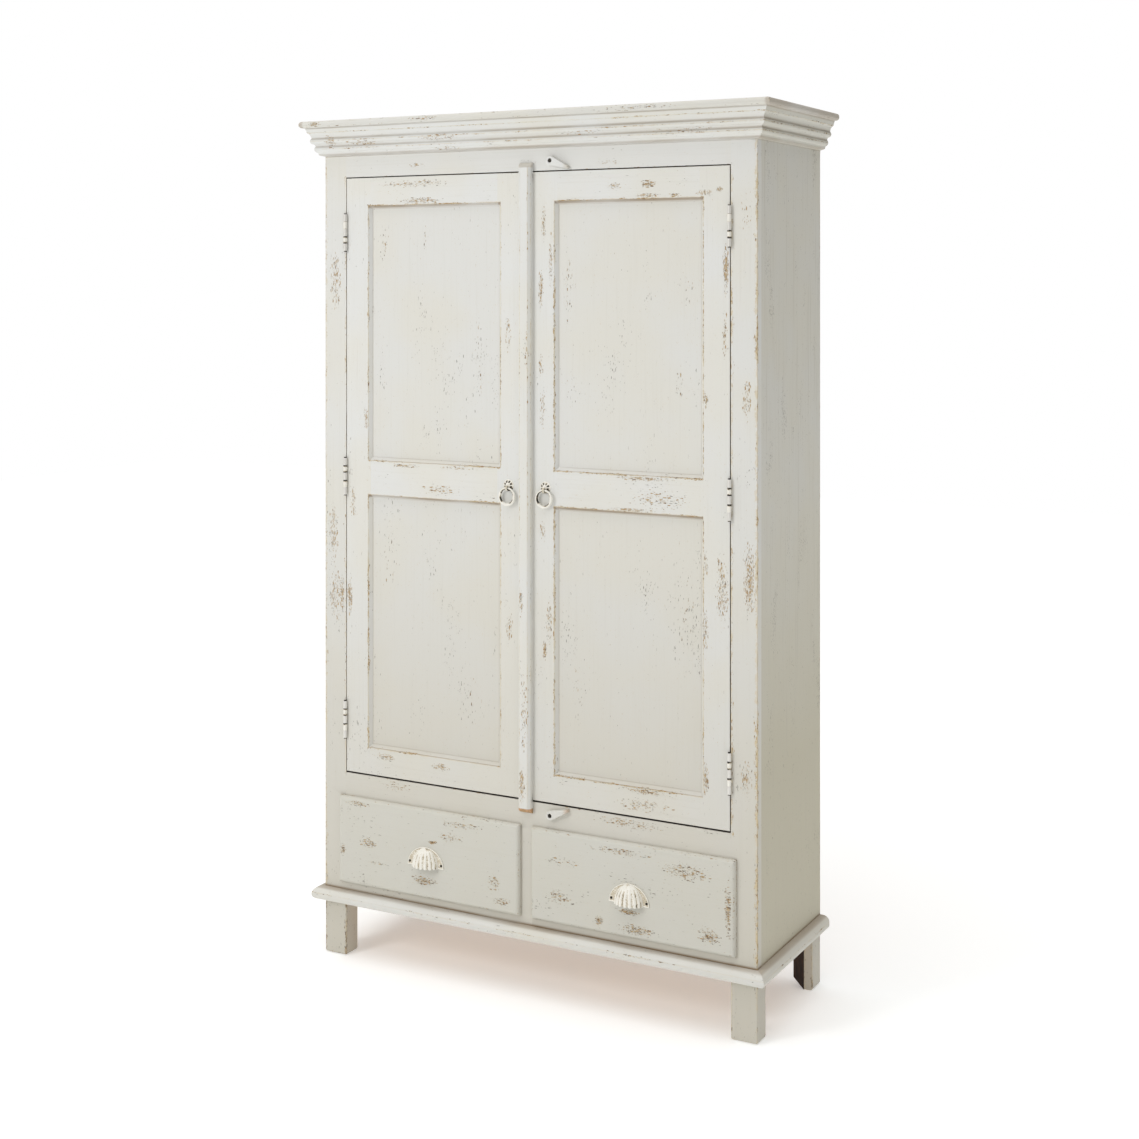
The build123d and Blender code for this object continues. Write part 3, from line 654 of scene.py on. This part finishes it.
def worn_boards(node, radius, bite):
    """A node's own boards, with rounded arrises that are nibbled in places. Joints stay sharp."""
    mesh = welded(node)
    for edge in mesh.edges:
        long_enough = edge.calc_length() > SHORTEST_ARRIS
        outward = edge.is_manifold and edge.is_convex
        edge.seam = bool(long_enough and outward and edge.calc_face_angle() > SHARP)
    low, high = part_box(node)
    size = high - low
    run = max(range(3), key=lambda i: size[i])
    direction = Vector([float(i == run) for i in range(3)])
    count = int(size[run] / SLICE)
    for i in range(1, count):
        everything = mesh.verts[:] + mesh.edges[:] + mesh.faces[:]
        bmesh.ops.bisect_plane(mesh, geom=everything, dist=WELD,
                               plane_co=low + direction * (size[run] * i / count), plane_no=direction)

    neighbours = joined_boards(node)
    arrises = [edge for edge in mesh.edges
               if edge.seam and not covered((edge.verts[0].co + edge.verts[1].co) / 2, neighbours)]
    made = bmesh.ops.bevel(mesh, geom=arrises, offset=radius, segments=3, profile=0.5, affect="EDGES",
                           clamp_overlap=True)
    rounded = set(made["faces"])
    mesh.normal_update()
    for vertex in mesh.verts:
        if vertex.link_faces and rounded.issuperset(vertex.link_faces):
            place = vertex.co
            rough = max(0.0, noise.noise(place * NIBBLES_PER_M) + 0.15)
            patch = max(0.0, noise.noise(place * PATCHES_PER_M + Vector((3, 5, 7))) + 0.35)
            vertex.co = place - vertex.normal * min(rough * patch * 2.4, 1.0) * bite
    for face in mesh.faces:
        face.smooth = True
    for edge in mesh.edges:
        edge.smooth = not (edge.is_manifold and edge.calc_face_angle() > SHARP)
        edge.seam = False
    piece = new_piece(f"{node}_worn", mesh, node)
    shading = piece.modifiers.new("flat_faces", "WEIGHTED_NORMAL")
    shading.keep_sharp = True
    return piece


# ---- cast fittings --------------------------------------------------------------------------


def smooth_step(low, high, value):
    """0 at low and 1 at high, whichever of the two is the larger."""
    share = min(1.0, max(0.0, (value - low) / (high - low)))
    return share * share * (3 - 2 * share)


def loft(mesh, rings, thin, looped=False, caps=()):
    """Faces between closed rings of points. The thin function gives a point's share of failing paint."""
    layer = mesh.verts.layers.float.get(THIN_PAINT) or mesh.verts.layers.float.new(THIN_PAINT)
    made = []
    for ring in rings:
        row = [mesh.verts.new(point) for point in ring]
        for vertex in row:
            vertex[layer] = thin(vertex.co)
        made.append(row)
    following = made[1:] + made[:1] if looped else made[1:]
    for row, after in zip(made, following):
        count = len(row)
        for i in range(count):
            j = (i + 1) % count
            mesh.faces.new((row[i], row[j], after[j], after[i]))
    for end in caps:
        mesh.faces.new(made[end])
    return made


def finished(mesh):
    """Welds collapsed points, turns all faces outward and shades them smooth."""
    bmesh.ops.remove_doubles(mesh, verts=mesh.verts, dist=WELD)
    bmesh.ops.recalc_face_normals(mesh, faces=mesh.faces)
    for face in mesh.faces:
        face.smooth = True
    for edge in mesh.edges:
        edge.smooth = not (edge.is_manifold and edge.calc_face_angle() > SHARP)
    return mesh


PULL_RIBS = 9
STEPS_PER_RIB = 8
DROP_STEPS = 20
PLATE_STEPS = 48
RIB_DEPTH = 3.2 * MM
SCALLOP = 2.4 * MM
LIP_MARGIN = 1.8 * MM
CROWN_MARGIN = 3 * MM
PULL_WALL = 2.2 * MM
PLATE_MARGIN = 14 * MM
PLATE_T = 2 * MM
PLATE_RIM = 0.7 * MM


def shell_pull(name):
    """A ribbed shell on a half-moon plate with a thin raised rim."""
    low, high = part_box(f"{name}_drawer_pull")
    middle = (low.x + high.x) / 2
    half_w = (high.x - low.x) / 2
    tall = high.z - low.z
    out = high.y - low.y
    mesh = bmesh.new()

    def rib(turn):
        return abs(math.sin(PULL_RIBS * turn))

    def shell_point(turn, drop, wall):
        """Turn goes across from right to left, drop from the pole at the top to the lip."""
        fade = smooth_step(0.15, 0.75, drop)
        swell = 1 - (RIB_DEPTH * (1 - rib(turn)) * fade + wall) / out
        scallop = rib(turn) * fade * SCALLOP * drop ** 6
        side = math.sin(drop * math.pi / 2)
        rise = (tall - CROWN_MARGIN - wall) * math.cos(drop * math.pi / 2)
        return Vector((middle + (half_w - PLATE_MARGIN) * side * math.cos(turn) * (1 - wall / half_w),
                       high.y - out * side * math.sin(turn) * swell,
                       low.z + LIP_MARGIN - scallop + rise))

    def groove(point):
        turn = math.atan2((high.y - point.y) / out, (point.x - middle) / (half_w - PLATE_MARGIN))
        raised = smooth_step(low.z + tall * 0.95, low.z + tall * 0.55, point.z)
        near_top = smooth_step(low.z + tall * 0.80, low.z + tall * 0.92, point.z)
        lump = smooth_step(-0.1, 0.35, noise.noise(point * 60))
        return max((1 - rib(turn)) * raised * (0.55 + 0.5 * lump), 0.8 * near_top * lump)

    across = PULL_RIBS * STEPS_PER_RIB
    turns = [math.pi * i / across for i in range(across + 1)]
    drops = [i / DROP_STEPS for i in range(DROP_STEPS + 1)]
    rings = [[shell_point(turn, drop, 0) for turn in turns]
             + [shell_point(turn, drop, PULL_WALL) for turn in reversed(turns)] for drop in drops]
    lip = loft(mesh, rings, groove)[-1]
    for i in range(len(turns) - 1):
        mesh.faces.new((lip[i], lip[i + 1], lip[-i - 2], lip[-i - 1]))

    def plate_ring(inset, height):
        points = []
        for i in range(PLATE_STEPS + 1):
            turn = math.pi * i / PLATE_STEPS
            points.append(Vector((middle + (half_w - inset) * math.cos(turn), high.y - height,
                                  low.z + inset + (tall - 2 * inset) * math.sin(turn))))
        return points

    rim_top = PLATE_T + PLATE_RIM
    profile = [(0, 0), (0, rim_top - 0.4 * MM), (0.4 * MM, rim_top), (1.8 * MM, rim_top),
               (2.4 * MM, PLATE_T), (3.4 * MM, PLATE_T)]
    loft(mesh, [plate_ring(inset, height) for inset, height in profile],
         lambda point: 0.0 if point.y < high.y - rim_top + 0.5 * MM else 0.5, caps=(0, -1))
    return new_piece(f"{name}_shell_pull", finished(mesh), f"{name}_drawer_pull")


PETALS = 8
ROSETTE_RINGS = 12
ROSETTE_STEPS = 64
EYE_STEPS = 40
RING_STEPS = 72
WIRE_STEPS = 16
EYE_HOLE = 3.4 * MM
EYE_OUT = 6 * MM
EYE_HALF = 2.5 * MM


def ring_plate(name):
    """A petalled rosette with dark pits, and a barrel-shaped eye for the ring."""
    low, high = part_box(f"{name}_ring_plate")
    middle_x = (low.x + high.x) / 2
    radius = (high.x - low.x) / 2
    centre = Vector((middle_x, high.y, high.z - radius))
    joint = Vector(JOINTS[f"{name}_ring_swing"]["pos_m"])
    mesh = bmesh.new()

    def height(r, turn):
        petal = abs(math.cos(PETALS / 2 * turn))
        dome = 3.2 * MM * (1 - (r / radius) ** 4) + 0.6 * MM
        boss = 1.6 * MM * smooth_step(0.5, 0.2, r / radius)
        valley = 0.8 * MM * (1 - petal) * smooth_step(0.35, 0.6, r / radius)
        return dome + boss - valley

    def pit(point):
        turn = math.atan2(point.z - centre.z, point.x - centre.x)
        r = math.hypot(point.z - centre.z, point.x - centre.x)
        beside = abs(math.sin(PETALS / 2 * turn))
        under_eye = smooth_step(centre.z - 0.15 * radius, centre.z - 0.5 * radius, point.z)
        dark_pit = smooth_step(0.35, 0.7, beside) * smooth_step(0.30, 0.12, abs(r / radius - 0.62))
        return max(dark_pit, 0.9 * under_eye)

    turns = [2 * math.pi * i / ROSETTE_STEPS for i in range(ROSETTE_STEPS)]
    rings = []
    for step in range(ROSETTE_RINGS + 1):
        share = step / ROSETTE_RINGS
        ring = []
        for turn in turns:
            r = radius * max(share, 0.02) * (1 - 0.07 * (1 - abs(math.cos(PETALS / 2 * turn))) * share)
            ring.append(centre + Vector((r * math.cos(turn), -height(r, turn), r * math.sin(turn))))
        rings.append(ring)
    rings.append([Vector((point.x, centre.y, point.z)) for point in rings[-1]])
    loft(mesh, rings, pit, caps=(0, -1))

    wall = (EYE_OUT - EYE_HOLE) / 2
    rings = []
    for step in range(EYE_STEPS):
        turn = 2 * math.pi * step / EYE_STEPS
        ring = []
        for i in range(WIRE_STEPS):
            around = 2 * math.pi * i / WIRE_STEPS
            r = EYE_HOLE + wall + wall * math.copysign(abs(math.cos(around)) ** 0.7, math.cos(around))
            side = EYE_HALF * math.copysign(abs(math.sin(around)) ** 0.7, math.sin(around))
            ring.append(joint + Vector((side, -r * math.cos(turn), r * math.sin(turn))))
        rings.append(ring)
    loft(mesh, rings, lambda point: 1.0 if (point - joint).length < EYE_HOLE + wall else 0.5, looped=True)
    return new_piece(f"{name}_ring_rosette", finished(mesh), f"{name}_ring_plate")


def pull_ring(name):
    """A slightly lumpy ring, thinner where it hangs in the eye."""
    low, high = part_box(f"{name}_ring")
    wire = (high.y - low.y) / 2
    centre = (low + high) / 2
    radius = (high.x - low.x) / 2 - wire
    mesh = bmesh.new()
    rings = []
    for step in range(RING_STEPS):
        turn = 2 * math.pi * step / RING_STEPS
        outward = Vector((math.cos(turn), 0, math.sin(turn)))
        thickness = wire * (1.22 - 0.32 * smooth_step(0.0, 0.9, outward.z))
        thickness *= 1 + 0.04 * noise.noise(outward * 3 + centre * 9)
        middle = centre + outward * radius
        rings.append([middle + (outward * math.cos(a) + Vector((0, math.sin(a), 0))) * thickness
                      for a in (2 * math.pi * i / WIRE_STEPS for i in range(WIRE_STEPS))])

    def inner_side(point):
        reach = math.hypot(point.x - centre.x, point.z - centre.z)
        patch = smooth_step(-0.5, 0.0, noise.noise((point - centre) * 60 + centre * 5))
        return smooth_step(radius + 0.2 * wire, radius - 0.6 * wire, reach) * patch
    loft(mesh, rings, inner_side, looped=True)
    return new_piece(f"{name}_pull_ring_cast", finished(mesh), f"{name}_ring")


BOARDS = {node: board_boxes(node) for node in sorted(nodes) if SLOTS[node].endswith("_wood")}
HINGES = board_boxes("right_door_hinge_leaves")
HINGE_MIDDLES = [(low[Z] + high[Z]) / 2 for low, high in HINGES]
HINGE_LENGTH = HINGES[0][1][Z] - HINGES[0][0][Z]


# ---- stage, light and camera -----------------------------------------------------------------

WORLD_LIGHT = 0.31
WARM_WHITE = (1.0, 0.985, 0.955, 1)
WHITE = (1, 1, 1, 1)
SUN_POWER = 1.95
SUN_TILT = 4
SUN_SPREAD = 70
KEY_POWER = 88
KEY_SIZE = 1.7
KEY_PLACE = (-2.3, -4.5, 3.5)
KEY_AIM = (0, 0, 1.15)
FLOOR_COLOUR = (0.79, 0.80, 0.80, 1)
FLOOR_GLOW = 0.32
CAMERA_PLACE = (1.980, FACE_Y - 3.472, 1.606)
CAMERA_TURN = 28.32
CAMERA_LENS = 55.8
CAMERA_SHIFT = -0.2492


def lamp(name, place, target, size, power):
    """A round soft lamp."""
    data = bpy.data.lights.new(name, "AREA")
    data.shape = "DISK"
    data.size = size
    data.energy = power
    made = bpy.data.objects.new(name, data)
    made.location = place
    aim = Vector(target) - Vector(place)
    made.rotation_euler = aim.to_track_quat("-Z", "Y").to_euler()
    scene.collection.objects.link(made)


def sun(name, tilt, spread, power):
    """A very soft distant light from above, tilted about the X axis."""
    data = bpy.data.lights.new(name, "SUN")
    data.energy = power
    data.angle = math.radians(spread)
    made = bpy.data.objects.new(name, data)
    made.rotation_euler = (math.radians(tilt), 0, 0)
    scene.collection.objects.link(made)


def world():
    """A soft even surround that looks white behind the object."""
    made = bpy.data.worlds.new("studio")
    made.use_nodes = True
    tree = made.node_tree
    background = tree.nodes["Background"]
    background.inputs["Color"].default_value = WARM_WHITE
    background.inputs["Strength"].default_value = WORLD_LIGHT
    seen = tree.nodes.new("ShaderNodeBackground")
    seen.inputs["Color"].default_value = WHITE
    rays = tree.nodes.new("ShaderNodeLightPath")
    choice = tree.nodes.new("ShaderNodeMixShader")
    tree.links.new(rays.outputs["Is Camera Ray"], choice.inputs[0])
    tree.links.new(background.outputs[0], choice.inputs[1])
    tree.links.new(seen.outputs[0], choice.inputs[2])
    tree.links.new(choice.outputs[0], tree.nodes["World Output"].inputs[0])
    scene.world = made


def floor():
    """A pale floor that glows a little, like a light table."""
    mesh = bpy.data.meshes.new("studio_floor")
    corners = [(-FAR, -FAR, 0), (FAR, -FAR, 0), (FAR, FAR, 0), (-FAR, FAR, 0)]
    mesh.from_pydata(corners, [], [(0, 1, 2, 3)])
    made = bpy.data.objects.new("studio_floor", mesh)
    paint = bpy.data.materials.new("studio_floor")
    paint.use_nodes = True
    shader = paint.node_tree.nodes["Principled BSDF"]
    shader.inputs["Base Color"].default_value = FLOOR_COLOUR
    shader.inputs["Roughness"].default_value = 0.9
    shader.inputs["Emission Color"].default_value = WHITE
    shader.inputs["Emission Strength"].default_value = FLOOR_GLOW
    mesh.materials.append(paint)
    scene.collection.objects.link(made)


def camera():
    """A level camera to the right of the front, with a downward shift."""
    data = bpy.data.cameras.new("camera")
    data.sensor_width = 36
    data.lens = CAMERA_LENS
    data.shift_y = CAMERA_SHIFT
    made = bpy.data.objects.new("camera", data)
    made.location = CAMERA_PLACE
    made.rotation_euler = (math.radians(90), 0, math.radians(CAMERA_TURN))
    scene.collection.objects.link(made)
    scene.camera = made


# ---- every surface ---------------------------------------------------------------------------

CORNICE_RIDGES = [CORNICE_TOP - depth * MM for depth in (11, 31, 50)]
CORNICE_GROOVES = [CORNICE_TOP - depth * MM for depth in (0, 25, 44, 64)]
BASE_RIDGE = [BASE_TOP - 13 * MM]
PANEL_SLOPE = 8 * MM
STRIP_BEVEL = 6 * MM
KNUCKLES = 5
PINE_SHIFT = 0.7


def front_dirt_and_shade(g):
    """Dirt and painted shade in the joint above the base moulding, and painted shade under the cornice.
    """
    above_base = (g.z - BASE_TOP).fall(0.0, 7 * MM)
    under_cornice = (-(g.z - CORNICE_LOW)).fall(0.0, 3 * MM) * 0.5
    return above_base.upper(under_cornice)


def panel_dirt_and_shadow(sign):
    """Dirt where the slopes meet a panel, and a painted shadow under the top slope."""
    def dirt_and_shadow(g):
        inward = -panel_outline(g, sign)
        joint = abs(inward - PANEL_SLOPE).fall(0.2 * MM, 2.0 * MM) * 0.25
        tops = level_edge((PANEL_LEVELS[1], PANEL_LEVELS[3]))(g)
        sills = level_edge((PANEL_LEVELS[0], PANEL_LEVELS[2]))(g)
        inside = inward.rise(0.0, 1 * MM)
        film = sills.fall(6 * MM, 9 * MM) * inside * 0.08
        # The band under the top slopes is a painted shadow; the joint and sill lines and the film are
        # grime.
        return joint.upper(tops.fall(4 * MM, 9 * MM) * inside * 0.75).upper(
            sills.fall(0.5 * MM, 2.5 * MM) * inside * 0.75).upper(film)
    return dirt_and_shadow


def moulding_dirt_and_shade(heights):
    """Dirt and painted shade along the grooves of a moulding."""
    return lambda g: level_edge(heights)(g).fall(0.4 * MM, 4.5 * MM) * 0.5


def rail_edge(g):
    """The arris round the doorway, which is worn less than the others."""
    return (doorway_rim(g) + 1.6 * MM).upper(g.y - FACE_Y)


def stile_edge(g):
    """The outer corner and the edge round the doorway."""
    return front_corner(g).lower(rail_edge(g))


def strip_edge(g):
    """The four long arrises of the closing strip's front."""
    low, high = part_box("closing_strip")
    beside = (-(abs(g.x) - high.x)).upper(abs(g.y - low.y - STRIP_BEVEL))
    before = abs(abs(g.x) - high.x + STRIP_BEVEL).upper(g.y - low.y)
    return beside.lower(before)


def top_end_shade(g):
    """Painted shade: a darker film on the ends of the top board."""
    return (abs(g.x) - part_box("top_board")[1].x).rise(-14 * MM, -6 * MM) * 0.42


def strip_ends(g):
    """The bevelled ends of the closing strip: the paint has gone from the lower one."""
    low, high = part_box("closing_strip")
    return (g.z - low.z).fall(10 * MM, 12.5 * MM).upper((g.z - high.z).rise(-12.5 * MM, -10 * MM) * 0.45)


def leg_edge(node):
    """How far a point is from the upright arrises and the feet of a pair of legs."""
    low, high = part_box(node)
    inner = FRAME_INNER if node == "front_legs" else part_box("right_side")[0].x

    def distance(g):
        a = (abs(g.x) - inner).lower(-(abs(g.x) - high.x))
        b = (g.y - low.y).lower(-(g.y - high.y))
        c = g.z - low.z
        return a.lower(b).upper(a.upper(b).lower(c))
    return distance


def hinge_chips(g):
    """The paint fails first at some of the joints between the knuckles."""
    away = level_edge(HINGE_MIDDLES)(g)
    knuckle = HINGE_LENGTH / KNUCKLES
    joint = abs((away * (1 / knuckle)).fraction() - 0.5).fall(0.10, 0.36)
    chosen = g.noise((0, 0, 31), 1.0, 0.5, 4.2).rise(0.42, 0.50)
    ends = (away - HINGE_LENGTH / 2).rise(-12 * MM, -5 * MM)
    return (joint * chosen).upper(ends)


def button_tip(g):
    """Rubbed paint at the narrow ends of the turn buttons."""
    pivot = JOINTS["top_button_turn"]["pos_m"][X]
    return (g.x - pivot).rise(30 * MM, 44 * MM) * 0.5


def near(places, sign, low, high):
    """The listed wear on one side, within a range of distances from the middle."""
    return [place for place in places if place[0] * sign > 0 and low < abs(place[0]) < high]


def door_finishes(sign, side):
    """The frame members and the panels of one door."""
    made = {}
    edge = panel_edge(sign)
    parts = (("hinge_stile", Z, 0.40, 1), ("meeting_stile", Z, 0, 0.12), ("rails", X, 0.075, 0.46))
    for part, grain, low, high in parts:
        made[f"{side}_door_{part}"] = painted(
            f"{side}_door_{part}", grain, edge, line=0.7, chips=0.6, reach=3 * MM,
            places=near(DOOR_WEAR, sign, low, high), crevice=panel_dirt_and_shadow(sign), specks=0.035,
            shift=sign * 3 + grain, gap=door_gap_shade(sign))
    made[f"{side}_door_panels"] = painted(
        f"{side}_door_panels", Z, edge, line=0.45, chips=0.15, reach=2.5 * MM,
        places=near(PANEL_WEAR, sign, 0, 1), crevice=panel_dirt_and_shadow(sign), specks=0.040, shift=sign * 3,
        darkening=0.75, dark=0.6)
    return made


def side_finishes(sign, side):
    """The frame, carcass and drawer on one side. The right-hand corner is worn the most."""
    made = {}
    line, chips = (0.95, 0.4) if sign > 0 else (0.6, 0.25)
    made[f"{side}_frame_stile"] = painted(
        f"{side}_frame_stile", Z, stile_edge, line=line, chips=chips, reach=9 * MM,
        places=near(FRAME_WEAR, sign, 0.5, 1), crevice=front_dirt_and_shade, shift=sign, darkening=0.72, gap=frame_gap_shade)
    # Painted shade: the sides take the shaded colour, as faces turned from the light.
    made[f"{side}_side"] = painted(
        f"{side}_side", Z, node_edge(f"{side}_side", (Y, Z), (Z,)), chips=0.7, reach=4 * MM,
        crevice=front_dirt_and_shade, specks=0.07, shift=sign + 20, darkening=0.95, darker_colour=PAINT_SHADED, brushed=0.55)
    made[f"{side}_drawer_front"] = painted(
        f"{side}_drawer_front", X, node_edge(f"{side}_drawer_front"), line=0.35, reach=5 * MM,
        places=near(DRAWER_WEAR, sign, 0, 1), specks=0.05, shift=sign * 5, darkening=0.7, darker_colour=PAINT_GREY,
        dark=0.5)
    # Painted shade: the cornice's sides take the shaded colour too.
    made[f"cornice_{side}"] = painted(
        f"cornice_{side}", Y, level_edge(CORNICE_RIDGES), chips=0.45, reach=2 * MM,
        crevice=moulding_dirt_and_shade(CORNICE_GROOVES), specks=0.08, shift=sign * 4, darkening=1.05,
        darker_colour=PAINT_SHADED, dark=0.7)
    made[f"base_moulding_{side}"] = painted(
        f"base_moulding_{side}", Y, level_edge(BASE_RIDGE), line=0.3, reach=2.5 * MM,
        crevice=moulding_dirt_and_shade([BASE_TOP]), shift=sign * 4, dark=0.7)
    for part, grain in (("drawer_sides", Y), ("drawer_ends", X), ("drawer_bottom", X)):
        made[f"{side}_{part}"] = pine(f"{side}_{part}", grain, sign * 6)
    return made


def middle_finishes():
    """Everything that isn't one of a left and right pair."""
    made = {}
    for part, low, high in (("top_rail", DOORWAY[1], FAR), ("middle_rail", 0, DOORWAY[0]),
                            ("bottom_rail", 0, 0)):
        places = [place for place in FRAME_WEAR if abs(place[0]) < 0.5 and low < place[1] < high]
        made[f"frame_{part}"] = painted(
            f"frame_{part}", X, rail_edge, chips=0.35, places=places, crevice=front_dirt_and_shade, darkening=0.72,
            gap=frame_gap_shade)
    made["frame_drawer_stile"] = painted("frame_drawer_stile", Z, nowhere, line=0, chips=0, darkening=0.72)
    made["closing_strip"] = painted(
        "closing_strip", Z, strip_edge, line=0.4, chips=0.15, reach=2 * MM, places=STRIP_WEAR,
        darkening=0.25, raw=strip_ends)
    made["cornice_front"] = painted(
        "cornice_front", X, level_edge(CORNICE_RIDGES), line=0.4, chips=0.35, reach=2 * MM,
        places=CORNICE_WEAR, crevice=moulding_dirt_and_shade(CORNICE_GROOVES), shift=2.0, darkening=0.05, dark=0.35)
    made["base_moulding_front"] = painted(
        "base_moulding_front", X, level_edge(BASE_RIDGE), line=0.3, reach=2.5 * MM,
        crevice=moulding_dirt_and_shade([BASE_TOP]), shift=2.0, darkening=0.3, dark=0.7)
    # The top board's ends take a painted shade.
    made["top_board"] = painted(
        "top_board", X, node_edge("top_board"), line=0.45, chips=0.5, places=TOP_WEAR,
        crevice=top_end_shade, specks=0.05, shift=1.5, darkening=0.9, dark=0.6)
    for node in ("front_legs", "rear_legs"):
        made[node] = painted(node, Z, leg_edge(node), line=0.7, chips=0.9, reach=6 * MM, specks=0.08,
                             darkening=1.05, dark=0.7)
    for node in ("top_turn_button", "bottom_turn_button"):
        made[node] = painted(node, X, nowhere, line=0, chips=0, specks=0.08, darkening=0.5, raw=button_tip)
    # Painted shade: the rear leg blocks are dark wood painted near black.
    made["rear_leg_blocks"] = shaded_dark_wood("rear_leg_blocks", Z)
    made["back_planks"] = pine("back_planks", Z, len("back_planks") * PINE_SHIFT, BACK_PLANKS)
    for node, grain in (("carcass_bottom", X), ("wardrobe_floor", X), ("shelves", X),
                        ("drawer_partition", Y), ("drawer_runners", Y), ("shelf_cleats", Y)):
        made[node] = pine(node, grain, len(node) * PINE_SHIFT)
    return made


def wooden_finishes():
    """The material of every wooden node."""
    made = middle_finishes()
    for sign, side in SIDES:
        made.update(door_finishes(sign, side))
        made.update(side_finishes(sign, side))
    return made


def finish(piece, material):
    """Gives a piece one material, in every slot that it has."""
    piece.data.materials.clear()
    piece.data.materials.append(material)


# The nodes that keep the CAD's own shape.
KEPT_BOARDS = ("top_board", "back_planks", "top_turn_button", "bottom_turn_button", "left_drawer_front",
               "right_drawer_front", "left_door_panels", "right_door_panels")
# The radius of the arrises, and how deep they are nibbled.
ARRISES = {"left_frame_stile": (1.8 * MM, 1.2 * MM), "right_frame_stile": (2.2 * MM, 1.8 * MM),
           "front_legs": (2.4 * MM, 1.8 * MM), "rear_legs": (2.4 * MM, 1.8 * MM)}
PLAIN_ARRIS = (1.1 * MM, 0.7 * MM)
MOULDING_ARRIS = (0.8 * MM, 0.5 * MM)


def wood():
    """Every wooden node: worn boards, and the CAD's own shape where it has its curves already."""
    for node, material in wooden_finishes().items():
        if node in KEPT_BOARDS:
            finish(nodes[node], material)
        else:
            usual = MOULDING_ARRIS if "cornice" in node or "moulding" in node else PLAIN_ARRIS
            finish(worn_boards(node, *ARRISES.get(node, usual)), material)


def metal():
    """Hinges, pulls, rings and screws."""
    hinge_iron = iron("hinge_iron", hinge_chips)
    cast_iron = iron("cast_iron")
    steel_finish = steel("screw_steel")
    for _, side in SIDES:
        for piece in (shell_pull(side), ring_plate(side), pull_ring(side)):
            finish(piece, cast_iron)
    for node, piece in nodes.items():
        if "screws" in node:
            finish(piece, steel_finish)
        elif "hinge_leaves" in node or node == "hinge_pins":
            finish(piece, hinge_iron)


scene.view_settings.view_transform = "Standard"
world()
sun("overhead", SUN_TILT, SUN_SPREAD, SUN_POWER)
lamp("key", KEY_PLACE, KEY_AIM, KEY_SIZE, KEY_POWER)
floor()
camera()
wood()
metal()
